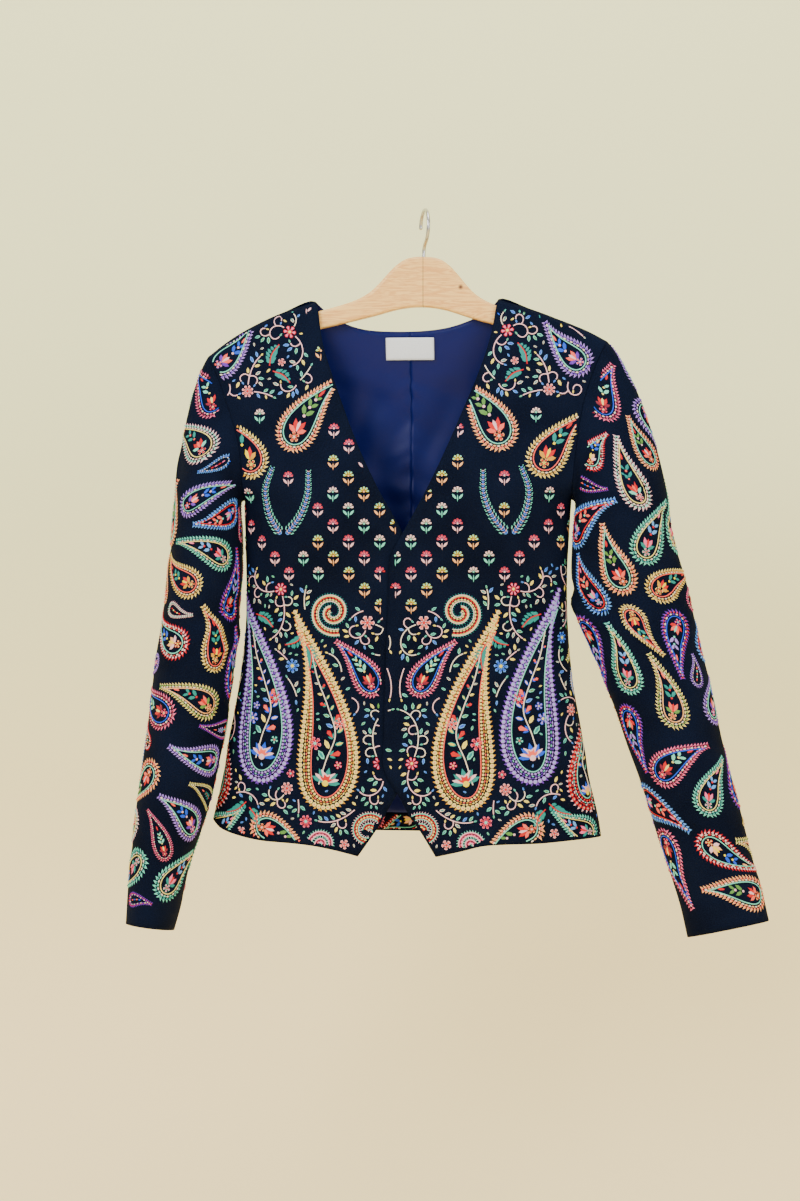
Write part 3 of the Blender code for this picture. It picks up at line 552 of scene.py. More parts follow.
def tube_normals(rings):
    """The outward direction at each point of a tube of rings."""
    normals = []
    for r, ring in enumerate(rings):
        above, below = rings[max(r - 1, 0)], rings[min(r + 1, len(rings) - 1)]
        middle = sum(ring, Vector()) / len(ring)
        row = []
        for i, point in enumerate(ring):
            around = ring[(i + 1) % len(ring)] - ring[i - 1]
            along = below[i] - above[i]
            normal = around.cross(along).normalized()
            if normal.dot(point - middle) < 0:
                normal = -normal
            row.append(normal)
        normals.append(row)
    return normals


def sleeve_skins(side):
    """The outside and inside of a sleeve, each as rings from the armhole down to the cuff."""
    loop, inner_loop = armhole_loop(side, 0.0), armhole_loop(side, CLOTH_WALL)
    neighbours = armhole_loop(side, 0.0, 1)
    count = len(loop)
    head, inner_head = [], []
    for i in range(count):
        tangent = (loop[(i + 1) % count] - loop[i - 1]).normalized()
        rim = inner_loop[i] - loop[i]
        away = tangent.cross(rim).normalized()
        if away.dot(loop[i] - neighbours[i]) < 0:
            away = -away
        head.append(loop[i] + away * SLEEVE_SEAM_GAP)
        inner_head.append(inner_loop[i] + away * SLEEVE_SEAM_GAP)
    rings = sleeve_rings(side)
    normals = tube_normals(rings)
    inner = [[p - n * CLOTH_WALL for p, n in zip(ring, row)] for ring, row in zip(rings, normals)]
    return [head] + rings, [inner_head] + inner


def inside_columns(side):
    """The back's columns on one side that the lining covers, from the middle outwards."""
    sign = SIDE_SIGNS[side]
    return [u for u in back_columns() if 0 < sign * u < 1 - 1e-6][::sign]


def lining_height(index, u):
    """The height of a lining row: it stops just below the neck edge and under the shoulder's roll."""
    levels = back_levels()
    if index <= len(LINING_BELOW_SHOULDER) and abs(u) > neck_corner() * (NECK_CORNER_SHARE - 0.01):
        return back_top(SHOULDER_HALF_WIDTH * spread(u)) - LINING_BELOW_SHOULDER[index - 1]
    return back_height(levels[index], u) + (SEAM_GAP if index == len(levels) - 2 else 0.0)


def lining_grid(side, inset):
    sign = SIDE_SIGNS[side]
    seam_across = BACK_SEAM_ACROSS + sign * SEAM_GAP / 2
    columns = [u for u in inside_columns(side) if sign * u > 0.02]
    if side == "left":
        columns.insert(0, 0.0)
    grid = []
    for index in range(1, len(back_levels()) - 1):
        row = [body_point("back", "right", seam_across, lining_height(index, 0.0), inset)]
        row += [row_point("back", side, u, lining_height(index, u), inset) for u in columns]
        grid.append(row)
    return grid


def lining_skins(side):
    outside = CLOTH_WALL + LAYER_GAP
    return lining_grid(side, outside), lining_grid(side, outside + LINING_WALL)


def hem_facing_skins():
    """The turned-up band of the jacket's own cloth inside the back hem."""
    outside = CLOTH_WALL + LAYER_GAP
    columns = list(reversed(inside_columns("left"))) + [0.0] + inside_columns("right")

    def skin(inset):
        return [
            [row_point("back", side_of(u), u, back_height(level, u), inset) for u in columns]
            for level in back_levels()[-2:]
        ]

    return skin(outside), skin(outside + CLOTH_WALL)


def label_skins():
    """A blank woven label on the lining, over the back seam."""
    outside = CLOTH_WALL + LAYER_GAP + LINING_WALL + LAYER_GAP
    heights = [LABEL_TOP - LABEL_DEPTH * r / (LABEL_ROWS - 1) for r in range(LABEL_ROWS)]
    places = [BACK_SEAM_ACROSS + LABEL_WIDTH * (c / (LABEL_COLUMNS - 1) - 0.5) for c in range(LABEL_COLUMNS)]

    def skin(inset):
        return [[body_point("back", side_of(x), x, height, inset) for x in places] for height in heights]

    return skin(outside), skin(outside + LABEL_WALL)


def hook_route():
    """Points of the wire from its foot in the hanger, round the crown, to its tip behind."""
    radius = HOOK_INSIDE_RADIUS + HOOK_WIRE / 2
    centre = -HOOK_INSIDE_RADIUS

    def on_ring(angle):
        return (radius * math.cos(angle), centre + radius * math.sin(angle))

    start = on_ring(HOOK_FRONT_END)
    heading = (-math.sin(HOOK_FRONT_END), math.cos(HOOK_FRONT_END))
    flat = [(0.0, SHAFT_FOOT), (0.0, (SHAFT_FOOT + SHAFT_TOP) / 2), (0.0, SHAFT_TOP)]
    leaving = (0.0, HOOK_BEND_PULL)
    arriving = (heading[0] * HOOK_BEND_PULL, heading[1] * HOOK_BEND_PULL)
    for step in range(1, HOOK_BEND_STEPS):
        parts = zip((0.0, SHAFT_TOP), leaving, start, arriving)
        flat.append(tuple(eased_between(step / HOOK_BEND_STEPS, *part) for part in parts))
    for step in range(HOOK_RING_STEPS + 1):
        flat.append(on_ring(mix(HOOK_FRONT_END, HOOK_BACK_END, step / HOOK_RING_STEPS)))
    forward = Vector((math.sin(HOOK_YAW), -math.cos(HOOK_YAW), 0))
    return [forward * out + Vector((0, 0, up)) for out, up in flat]


# Finer cloth on the solids' form

CLOTH_STEP, LINING_STEP, LABEL_STEP = 6.0, 3.2, 3.0
LATTICE_STEP = 2.0
LATTICE_HALF_WIDTH = 260.0
EDGE_BULGE = 0.2
CREASE_HALF_SPAN = 0.42

Crease = namedtuple("Crease", "face x0 z0 x1 z1 width height")
Lattice = namedtuple("Lattice", "left top points normals flipped")

# Soft troughs (minus) and ridges where the hanging cloth gives, from one end to the other
BODY_CREASES = table(
    Crease, ("front", 150, -262, 138, -372, 9, 2.2), ("front", 136, -300, 128, -420, 10, -1.6),
    ("front", -146, -275, -138, -368, 9, 1.8), ("front", -60, -420, -120, -440, 12, 1.0),
    ("front", 40, -430, 110, -452, 12, 1.1), ("front", 96, -470, 150, -520, 13, -1.2),
    ("back", -120, -250, -60, -300, 12, 1.6), ("back", 118, -245, 62, -292, 12, 1.6),
    ("back", -90, -400, 40, -416, 12, 1.4), ("back", -20, -440, 110, -428, 12, -1.4),
    ("back", -40, -470, -52, -620, 14, 1.8), ("back", 58, -480, 66, -625, 14, 1.6),
)


def filled_in(points, step, closed):
    """The rows with more between them, on smooth curves through each column, about a step apart."""
    if closed:
        padded = np.concatenate([points[-1:], points, points[:2]])
    else:
        padded = np.concatenate([2 * points[:1] - points[1:2], points, 2 * points[-1:] - points[-2:-1]])
    spans = np.linalg.norm(np.diff(padded[..., :3], axis=0), axis=2, keepdims=True).clip(1e-6)
    secants = np.diff(padded, axis=0) / spans
    slopes = (secants[:-1] * spans[1:] + secants[1:] * spans[:-1]) / (spans[:-1] + spans[1:])
    rows = []
    for k in range(len(slopes) - 1):
        span = spans[k + 1]
        parts = max(1, math.ceil(float(span.mean()) / step))
        for part in range(parts):
            start, end = padded[k + 1], padded[k + 2]
            rows.append(eased_between(part / parts, start, slopes[k] * span, end, slopes[k + 1] * span))
    if not closed:
        rows.append(points[-1])
    return np.array(rows)


def refined(skins, step=None, closed=False):
    """Both skins of a piece with points added alike, as arrays of rows, columns and coordinates."""
    step = step or round(bpy.context.scene.jacket_cloth.mesh_step / MM, 3)
    outer, inner = (np.array([[tuple(point) for point in row] for row in skin]) for skin in skins)
    both = filled_in(np.concatenate([outer, inner], axis=2), step, False)
    both = filled_in(both.swapaxes(0, 1), step, closed).swapaxes(0, 1)
    return both[..., :3].copy(), both[..., 3:].copy()


def outward_normals(outer, inner, closed=False):
    if closed:
        across = np.roll(outer, -1, axis=1) - np.roll(outer, 1, axis=1)
    else:
        across = np.gradient(outer, axis=1)
    normals = np.cross(across, np.gradient(outer, axis=0))
    normals /= np.linalg.norm(normals, axis=2, keepdims=True).clip(1e-9)
    away = np.sign((normals * (outer - inner)).sum(axis=2, keepdims=True))
    return normals * np.where(away == 0, 1, away)


def creased(skins):
    """A piece of the body with its soft creases, each drawn as it is seen from the front."""
    outer, inner = skins
    normals = outward_normals(outer, inner)
    x, z = outer[..., 0] - GARMENT_CENTRE_X, outer[..., 2]
    moved = np.zeros(x.shape)
    for crease in BODY_CREASES:
        facing = (-normals[..., 1] if crease.face == "front" else normals[..., 1]).clip(0, 1)
        dx, dz = crease.x1 - crease.x0, crease.z1 - crease.z0
        t = ((x - crease.x0) * dx + (z - crease.z0) * dz) / (dx * dx + dz * dz)
        off = np.hypot(x - crease.x0 - t * dx, z - crease.z0 - t * dz)
        ends = np.exp(-(((t - 0.5) / CREASE_HALF_SPAN) ** 4))
        moved += crease.height * np.exp(-((off / crease.width) ** 2)) * ends * facing ** 0.5
    shift = moved[..., None] * normals
    return outer + shift, inner + shift


def rim_places(rows, columns):
    """The row and column of each point round a piece's edges, and of its neighbour further in."""
    r1, c1 = rows - 1, columns - 1
    loop = [(0, c) for c in range(c1)] + [(r, c1) for r in range(r1)]
    loop += [(r1, c) for c in range(c1, 0, -1)] + [(r, 0) for r in range(r1, 0, -1)]
    return np.array(loop).T, np.clip(loop, 1, (r1 - 1, c1 - 1)).T


def cloth_wall(name, skins, outside, inside):
    """A closed thin wall of cloth with rounded edges, its UV map laid out flat in metres."""
    outer, inner = skins
    rows, columns, _ = outer.shape
    across = np.linalg.norm(np.diff(outer, axis=1), axis=2).cumsum(axis=1)
    across = np.concatenate([np.zeros((rows, 1)), across], axis=1)
    down = np.linalg.norm(np.diff(outer, axis=0), axis=2).mean(axis=1).cumsum()
    flat = np.stack([across, -np.broadcast_to(np.append(0, down)[:, None], across.shape)], axis=2)
    r, c = (g.ravel() for g in np.meshgrid(range(rows - 1), range(columns - 1), indexing="ij"))
    corners = ((r, c), (r, c + 1), (r + 1, c + 1), (r + 1, c))
    quads = np.stack([i * columns + j for i, j in corners], axis=1)
    flats = np.stack([flat[i, j] for i, j in corners], axis=1)
    (r, c), further_in = rim_places(rows, columns)
    away = outer[r, c] - outer[tuple(further_in)]
    away /= np.linalg.norm(away, axis=1, keepdims=True).clip(1e-9)
    middle = (outer[r, c] + inner[r, c]) / 2 + away * EDGE_BULGE
    first, second = r * columns + c, 2 * rows * columns + np.arange(len(r))
    faces, uvs = [quads, quads + rows * columns], [flats, flats]
    for near, far in ((first, second), (second, first + rows * columns)):
        faces.append(np.stack([near, np.roll(near, -1), np.roll(far, -1), far], axis=1))
        turned_in = flat[r, c] + CLOTH_WALL / 2
        uvs.append(np.stack([flat[r, c], flat[r, c], turned_in, turned_in], axis=1))
    points = np.concatenate([outer.reshape(-1, 3), inner.reshape(-1, 3), middle])
    mesh = bpy.data.meshes.new(name)
    mesh.from_pydata((points * MM).tolist(), [], np.concatenate(faces).tolist())
    layer = mesh.uv_layers.new(name="Cut")
    layer.data.foreach_set("uv", (np.concatenate(uvs) * MM).ravel())
    slots = np.repeat((0, 1, 0), (len(quads), len(quads), 2 * len(r)))
    mesh.polygons.foreach_set("material_index", slots)
    work = bmesh.new()
    work.from_mesh(mesh)
    bmesh.ops.recalc_face_normals(work, faces=work.faces)
    work.to_mesh(mesh)
    work.free()
    mesh.shade_smooth()
    mesh.materials.append(outside)
    mesh.materials.append(inside)
    return add_object(name, mesh)


def add_object(name, data):
    piece = bpy.data.objects.new(name, data)
    bpy.context.scene.collection.objects.link(piece)
    return piece


# Laying stitches flat on a panel

def level_runs(present):
    """Groups of neighbouring columns that a level line crosses."""
    found = np.flatnonzero(present)
    return [run for run in np.split(found, np.flatnonzero(np.diff(found) > 1) + 1) if len(run) > 1]


def flattened(skins, middle_column=None):
    """The outside of a piece by distance along level lines, from its middle, and by height."""
    outer, inner = skins
    if middle_column is None and outer[-1, -1, 0] < outer[-1, 0, 0]:
        outer, inner = outer[:, ::-1], inner[:, ::-1]
    falls = np.maximum.accumulate(-outer[..., 2], axis=0)
    top = float(outer[..., 2].max())
    heights = np.arange(top, float(outer[..., 2].min()), -LATTICE_STEP)
    places = np.arange(-LATTICE_HALF_WIDTH, LATTICE_HALF_WIDTH + 1, LATTICE_STEP)
    points = np.full((len(heights), len(places), 3), np.nan)
    known = np.zeros(outer.shape[1])
    for i in range(len(heights) - 1, -1, -1):
        height = heights[i]
        present = (falls[0] < -height) & (falls[-1] > -height)
        for run in level_runs(present):
            section = np.array([
                [np.interp(-height, falls[:, c], outer[:, c, k]) for k in range(3)] for c in run
            ])
            if middle_column is None:
                offsets = section[:, 0] - GARMENT_CENTRE_X
                anchor = int(np.abs(offsets).argmin())
                start = offsets[anchor]
            else:
                anchor = int(np.abs(run - middle_column).argmin())
                start = known[run[anchor]]
            along = np.append(0, np.linalg.norm(np.diff(section, axis=0), axis=1).cumsum())
            along += start - along[anchor]
            known[run] = along
            hit = (places >= along[0]) & (places <= along[-1])
            for k in range(3):
                points[i, hit, k] = np.interp(places[hit], along, section[:, k])
    rightwards = np.gradient(points, axis=1)
    normals = np.cross(rightwards, -np.gradient(points, axis=0))
    normals /= np.linalg.norm(normals, axis=2, keepdims=True)
    for axis, way in ((1, 1), (1, -1), (0, 1), (0, -1)):
        gaps = np.isnan(normals[..., 0]) & ~np.isnan(points[..., 0])
        normals[gaps] = np.roll(normals, way, axis=axis)[gaps]
    row, column = outer.shape[0] // 2, outer.shape[1] // 2 if middle_column is None else middle_column
    spot = outer[row, column]
    i, j = np.unravel_index(np.nanargmin(np.linalg.norm(points - spot, axis=2)), points.shape[:2])
    flipped = float(normals[i, j] @ (spot - inner[row, column])) < 0
    return Lattice(float(places[0]), top, points, -normals if flipped else normals, flipped)


def lattice_values(lattice, places):
    """The points and normals at flat places, given as complex numbers. Places off the cloth hold NaN."""
    x = (places.real - lattice.left) / LATTICE_STEP
    y = (lattice.top - places.imag) / LATTICE_STEP
    rows, columns = lattice.points.shape[:2]
    i = np.clip(np.floor(y).astype(int), 0, rows - 2)
    j = np.clip(np.floor(x).astype(int), 0, columns - 2)
    outside = (x < 0) | (x > columns - 1) | (y < 0) | (y > rows - 1)
    s, t = np.clip(x - j, 0, 1)[:, None], np.clip(y - i, 0, 1)[:, None]

    def blended(grid):
        upper = grid[i, j] * (1 - s) + grid[i, j + 1] * s
        lower = grid[i + 1, j] * (1 - s) + grid[i + 1, j + 1] * s
        return upper * (1 - t) + lower * t

    points, normals = blended(lattice.points), blended(lattice.normals)
    points[outside] = np.nan
    normals /= np.linalg.norm(normals, axis=1, keepdims=True)
    return points, normals


# Embroidery

GROUND_WIDTH, GROUND_HEIGHT = 640, 860
STITCH_SUNK = -0.2
LEAF = ((0.22, 0.72), (0.62, 0.86))
ROUND_PETAL = ((0.45, 0.72), (0.85, 0.9))
DROP = ((0.35, 0.55), (0.78, 0.98))
BARB = ((0.12, 0.95), (0.5, 0.62))
STRAND_PITCH = 0.0004
DROP_NECK, DROP_PEAK, DROP_CURVE = 1.8, 0.669, 2.2

Floss = namedtuple("Floss", "name red green blue")
Palette = namedtuple("Palette", "rim second line leaf petal heart")
Paisley = namedtuple("Paisley", "across height turn length width bend palette")
Curl = namedtuple("Curl", "across height turn radius hand palette")
Jagged = namedtuple("Jagged", "across height turn size")
DropSize = namedtuple("DropSize", "length width tries")

# Thread colours, as they look on a screen, 0 to 255
FLOSSES = table(
    Floss, ("crimson", 196, 32, 58), ("maroon", 122, 26, 52), ("coral", 238, 116, 104),
    ("pink", 236, 130, 160), ("pale_pink", 240, 198, 202), ("peach", 244, 186, 140),
    ("gold", 206, 154, 84), ("straw", 234, 216, 146), ("yellow", 238, 214, 82), ("green", 92, 134, 72),
    ("teal", 44, 130, 124), ("mint", 134, 212, 190), ("sky", 120, 164, 222), ("cobalt", 48, 96, 204),
    ("violet", 108, 72, 168), ("lavender", 172, 146, 216), ("cream", 236, 222, 206),
)
FLOSS_INDEX = {floss.name: index for index, floss in enumerate(FLOSSES)}

PALETTES = {
    "gold": Palette("straw", "gold", "coral", "teal", "crimson", "yellow"),
    "lavender": Palette("lavender", "violet", "mint", "cobalt", "coral", "pale_pink"),
    "crimson": Palette("crimson", "pale_pink", "mint", "cobalt", "peach", "yellow"),
    "cobalt": Palette("sky", "cobalt", "crimson", "coral", "pink", "mint"),
    "peach": Palette("peach", "coral", "mint", "green", "crimson", "pale_pink"),
    "teal": Palette("mint", "teal", "straw", "sky", "pink", "crimson"),
    "rose": Palette("pink", "maroon", "cobalt", "mint", "crimson", "straw"),
    "moss": Palette("straw", "green", "peach", "teal", "coral", "crimson"),
    "plum": Palette("violet", "crimson", "cobalt", "lavender", "coral", "mint"),
    "shell": Palette("pale_pink", "mint", "straw", "teal", "crimson", "coral"),
}
FLORETS = (
    ("crimson", "pink", "pale_pink"),
    ("mint", "yellow", "peach"),
    ("pale_pink", "cream", "mint"),
)
BLOOMS = (
    ("crimson", "pink", "mint"),
    ("coral", "pale_pink", "crimson"),
    ("cobalt", "sky", "yellow"),
    ("pink", "crimson", "straw"),
    ("mint", "teal", "coral"),
    ("lavender", "cobalt", "straw"),
)
LEAVES = (("mint", "teal"), ("sky", "cobalt"), ("straw", "yellow"), ("mint", "green"), ("cream", "teal"))


def resampled(path, step):
    """Points about a step apart along a path of complex numbers."""
    path = np.asarray(path, complex)
    lengths = np.append(0, np.abs(np.diff(path)).cumsum())
    count = max(int(round(lengths[-1] / step)), 1)
    at = np.linspace(0, lengths[-1], count + 1)
    return np.interp(at, lengths, path.real) + 1j * np.interp(at, lengths, path.imag)


def smooth_path(knots, step=2.0):
    """A smooth curve through the knots, as points a step apart."""
    points = np.array([[[knot.real, knot.imag, 0.0]] for knot in knots])
    fine = filled_in(points, step, False)[:, 0]
    return resampled(fine[:, 0] + 1j * fine[:, 1], step)


def headings(path):
    steps = np.gradient(np.asarray(path, complex))
    return steps / np.abs(steps).clip(1e-9)


def beside(path, distance):
    """The path moved to its left."""
    return path + 1j * headings(path) * distance


def turned(degrees, scale=1.0):
    return scale * complex(math.cos(math.radians(degrees)), math.sin(math.radians(degrees)))


def spiral_path(centre, radius, start, turns, hand=1, end=0.12):
    """A spiral that winds in from its start angle, in degrees."""
    t = np.linspace(0, 1, max(int(turns * 26), 8))
    reach = radius * (1 - (1 - end) * t ** 0.9)
    return centre + reach * np.exp(1j * (math.radians(start) + hand * 2 * math.pi * turns * t))


class Needlework:
    """Raised stitches, drawn flat in millimetres as complex numbers and then laid on a panel."""

    def __init__(self):
        self.places = []
        self.rises = []
        self.strands = []
        self.faces = []
        self.flosses = []
        self.stitches = []
        self.count = 0

    def add(self, places, rises, strands, faces, floss):
        first = len(self.places)
        self.places += places
        self.rises += rises
        self.strands += strands
        self.faces += [tuple(first + k for k in face) for face in faces]
        self.flosses += [FLOSS_INDEX[floss]] * len(faces)
        self.stitches += [self.count] * len(faces)
        self.count += 1

    def petal(self, base, tip, width, floss, shape=LEAF, rise=0.7):
        along = tip - base
        length = abs(along)
        if length < 0.2:
            return
        side = 1j * along / length * width / 2
        (a, wide_a), (b, wide_b) = shape
        places = [
            base, base + along * a - side * wide_a, base + along * b - side * wide_b, tip,
            base + along * b + side * wide_b, base + along * a + side * wide_a, base + along * 0.5,
        ]
        half = width / 2
        strands = [
            (0, 0), (-half, a * length), (-half, b * length), (0, length),
            (half, b * length), (half, a * length), (0, length / 2),
        ]
        faces = [(k, (k + 1) % 6, 6) for k in range(6)]
        self.add(places, [STITCH_SUNK] * 6 + [rise], strands, faces, floss)

    def knot(self, centre, radius, floss, rise=0.8, sides=6):
        ring = [turned(360 * k / sides, radius) for k in range(sides)]
        places = [centre + p for p in ring] + [centre]
        strands = [(p.real, p.imag) for p in ring] + [(0, 0)]
        faces = [(k, (k + 1) % sides, sides) for k in range(sides)]
        self.add(places, [STITCH_SUNK] * sides + [rise], strands, faces, floss)

    def cordline(self, path, width, floss, rise=0.6, step=2.6):
        """A rope of stem stitches, laid stitch by stitch so that it can end at a seam."""
        path = resampled(path, step)
        ways = headings(path)
        for k in range(len(path) - 1):
            base, tip = path[k] - ways[k] * 0.3, path[k + 1] + ways[k + 1] * 0.3
            sides = (1j * ways[k] * width / 2, 1j * ways[k + 1] * width / 2)
            places = [base - sides[0], base, base + sides[0], tip - sides[1], tip, tip + sides[1]]
            rises = [STITCH_SUNK, rise, STITCH_SUNK, STITCH_SUNK, rise * 0.85, STITCH_SUNK]
            length = abs(tip - base)
            strands = [(-width / 2, 0), (0, 0), (width / 2, 0)]
            strands += [(-width / 2, length), (0, length), (width / 2, length)]
            faces = [(0, 1, 4), (0, 4, 3), (1, 2, 5), (1, 5, 4)]
            self.add(places, rises, strands, [face[::-1] for face in faces], floss)

    def links(self, path, length, width, flosses, rise=0.7):
        """Small stitches end to end, their colours in turn."""
        path = resampled(path, length)
        for k in range(len(path) - 1):
            overlap = (path[k + 1] - path[k]) * 0.06
            self.petal(path[k] - overlap, path[k + 1] + overlap, width, flosses[k % len(flosses)], rise=rise)

    def beads(self, path, radius, spacing, flosses, rise=0.9):
        for k, place in enumerate(resampled(path, spacing)[:-1]):
            self.knot(place, radius, flosses[k % len(flosses)], rise)

    def mirror(self, line):
        """The same stitches again on the other side of a line."""
        first, count = len(self.places), self.count
        self.places += [complex(2 * line - place.real, place.imag) for place in self.places]
        self.rises += self.rises
        self.strands += self.strands
        self.faces += [tuple(first + k for k in face[::-1]) for face in self.faces]
        self.flosses += self.flosses
        self.stitches += [count + k for k in self.stitches]
        self.count += count

    def barbs(self, path, side, length, width, lean, spacing, flosses, taper=0.0):
        """Stitches that stand out from a path on one side and lean forward along it."""
        path = resampled(path, spacing)
        ways = headings(path)
        out, forward = math.cos(math.radians(lean)), math.sin(math.radians(lean))
        for k, (place, way) in enumerate(zip(path, ways)):
            reach = length * (1 - taper * k / max(len(path) - 1, 1))
            direction = way * 1j * side * out + way * forward
            tip = place + direction * reach
            self.petal(place - direction * 0.4, tip, width, flosses[k % len(flosses)], BARB)


def leaf(work, base, way, length, flosses, rise=0.7):
    """A leaf with a pale edge round its darker middle."""
    tip = base + way * length
    work.petal(base, tip, length * 0.52, flosses[0], rise=rise * 0.6)
    inner_base, inner_tip = base + way * length * 0.16, tip - way * length * 0.14
    work.petal(inner_base, inner_tip, length * 0.3, flosses[1], rise=rise * 1.25)


def floret(work, centre, flosses):
    """A small flower: a fan of round petals with pale edges over a bowl of two leaves on a stalk."""
    blossom, glow, cup = flosses
    for degrees in (-80, -40, 0, 40, 80):
        tip = turned(90 + degrees, 6.2)
        work.petal(centre + tip * 0.1, centre + tip, 3.225, glow, ROUND_PETAL, 0.6)
        work.petal(centre + tip * 0.3, centre + tip * 0.92, 2.25, blossom, ROUND_PETAL, 1.3)
    work.knot(centre + 0.2j, 1.35, cup, 1.2)
    for hand in (1, -1):
        root, side = centre - hand * 0.7 - 8.2j, centre - hand * 6.3 - 1.6j
        work.petal(root, side, 3.45, cup, LEAF, 0.8)
    work.petal(centre - 2.2j, centre - 11.4j, 1.5, cup, LEAF, 1.0)


def bloom(work, centre, radius, flosses, petals=6, turn=0.0):
    """A round flower: edged outer petals, short inner ones and a knot at the heart."""
    outer, inner, heart = flosses
    for k in range(petals):
        way = turned(turn + 360 * k / petals, radius)
        work.petal(centre + way * 0.12, centre + way * 1.06, radius * 4.6 / petals, inner, DROP, 0.45)
        work.petal(centre + way * 0.18, centre + way * 0.95, radius * 3.3 / petals, outer, DROP, 0.8)
    for k in range(petals):
        way = turned(turn + 360 * (k + 0.5) / petals, radius)
        work.petal(centre + way * 0.1, centre + way * 0.52, radius * 1.3 / petals, inner, rise=1.0)
    work.knot(centre, radius * 0.27, heart, rise=1.2)


def tulip(work, base, way, size, flosses):
    """A flower seen from the side, with its cup of leaves."""
    outer, inner, cup = flosses
    petals = ((-34, 0.95, outer, 0.7), (34, 0.95, outer, 0.7), (0, 1.0, inner, 0.95))
    for degrees, reach, floss, rise in petals:
        step = way * turned(degrees) * size * reach
        work.petal(base, base + step, size * 0.42, floss, LEAF, rise)
    for degrees in (-70, 70):
        work.petal(base, base + way * turned(degrees) * size * 0.5, size * 0.24, cup)


def bud(work, base, way, size, flosses):
    work.petal(base, base + way * size, size * 0.5, flosses[0], DROP)
    for degrees in (-30, 30):
        work.petal(base, base + way * turned(degrees) * size * 0.6, size * 0.24, flosses[2])


def feather(work, knots, length, flosses):
    """A long plume: a corded rib with barbs down both sides, each tipped in another thread."""
    path = smooth_path([complex(*knot) for knot in knots])
    work.links(path, 3.4, 2.0, flosses[:1], 0.9)
    places = resampled(path, 2.3)
    ways = headings(places)
    for k, (place, way) in enumerate(zip(places, ways)):
        reach = length * (1 - 0.55 * k / len(places))
        for side in (1, -1):
            barb = way * turned(side * (46 + 8 * (k % 2))) * reach
            work.petal(place, place + barb * 0.62, 1.5, flosses[1 + k % 2], BARB)
            work.petal(place + barb * 0.55, place + barb, 1.4, flosses[3], LEAF)


def jagged_leaf(work, base, way, size, flosses):
    """A broad toothed leaf with a raised rib."""
    path = smooth_path([base, base + way * size * 0.5, base + way * turned(14) * size])
    work.petal(base + way * size * 0.08, path[-1], size * 0.3, flosses[0], LEAF, 0.6)
    for side in (1, -1):
        for share, reach in ((0.1, 0.3), (0.24, 0.38), (0.4, 0.4), (0.56, 0.34), (0.72, 0.27), (0.86, 0.18)):
            place = path[int(share * (len(path) - 1))]
            tooth = way * turned(side * 46) * size * reach
            work.petal(place, place + tooth, size * 0.2, flosses[0], LEAF, 0.6)
    work.cordline(path, 1.5, flosses[1], 1.1)


def scroll(work, path, flosses, width=8.0):
    """A striped band between two cords, toothed on both sides."""
    for side in (1, -1):
        work.cordline(beside(path, side * width * 0.42), 1.3, flosses[0])
        work.barbs(beside(path, side * (width * 0.42 + 0.6)), side, 2.4, 1.4, 20, 2.7, flosses[3:4])
    work.links(beside(path, width * 0.2), 3.4, 2.3, flosses[1:2], 0.9)
    work.links(beside(path, -width * 0.08), 3.4, 2.3, flosses[2:3], 0.9)
    work.cordline(beside(path, -width * 0.27), 1.2, flosses[1])


def paisley_rim(shape, inset=0.0, count=72):
    """The outline of a curved drop, from its tip round its foot and back."""
    length, width = shape.length - 2 * inset, shape.width - 2 * inset
    t = np.linspace(0.02, 2 * math.pi - 0.02, count)
    up = (1 + np.cos(t)) / 2
    across = width / 2 * np.sin(t) * np.sin(t / 2) ** DROP_NECK / DROP_PEAK
    rim = across + shape.bend * shape.width * up ** DROP_CURVE + 1j * length * (up - 0.5)
    return complex(shape.across, shape.height) + rim * turned(shape.turn)


def paisley_place(shape, share, side=0.0):
    """A place inside the drop: share runs from the foot to the tip, side from -1 to 1 across it."""
    share = min(max(share, 0.01), 0.99)
    half = shape.width * math.sqrt(share * (1 - share)) * (1 - share) ** (DROP_NECK / 2) / DROP_PEAK
    across = side * half + shape.bend * shape.width * share ** DROP_CURVE
    local = complex(across, shape.length * (share - 0.5))
    return complex(shape.across, shape.height) + local * turned(shape.turn)


def posy(work, shape, palette):
    """What fills a small drop: a flower, a tulip, two pairs of leaves and a bud, one above the other."""
    width = shape.width

    def spot(widths):
        return paisley_place(shape, widths * width / shape.length)

    up = spot(0.6) - spot(0.3)
    up /= abs(up)
    bloom(work, spot(0.32), width * 0.17, (palette.petal, palette.rim, palette.heart), 5, shape.turn)
    cup = spot(0.44)
    for degrees, reach in ((-58, 0.36), (58, 0.36), (-22, 0.48), (22, 0.48), (0, 0.42)):
        floss = (palette.second, palette.petal, palette.heart)[(abs(degrees) < 40) + (abs(degrees) < 10)]
        work.petal(cup, cup + up * turned(degrees) * width * reach, width * 0.2, floss, LEAF, 0.9)
    for widths, reach in ((0.98, 0.38), (1.26, 0.3), (1.52, 0.22)):
        if widths * width < shape.length * 0.66:
            knee = spot(widths)
            up = spot(widths + 0.2) - knee
            up /= abs(up)
            for hand in (1, -1):
                tip = knee + up * turned(hand * 34) * width * reach
                work.petal(knee, tip, width * 0.52 * reach, palette.leaf, LEAF, 0.8)
            work.knot(knee, width * 0.06, palette.heart)
    low = min(1.74 * width / shape.length, 0.68)
    work.petal(paisley_place(shape, low), paisley_place(shape, low + 0.14), width * 0.12, palette.petal)


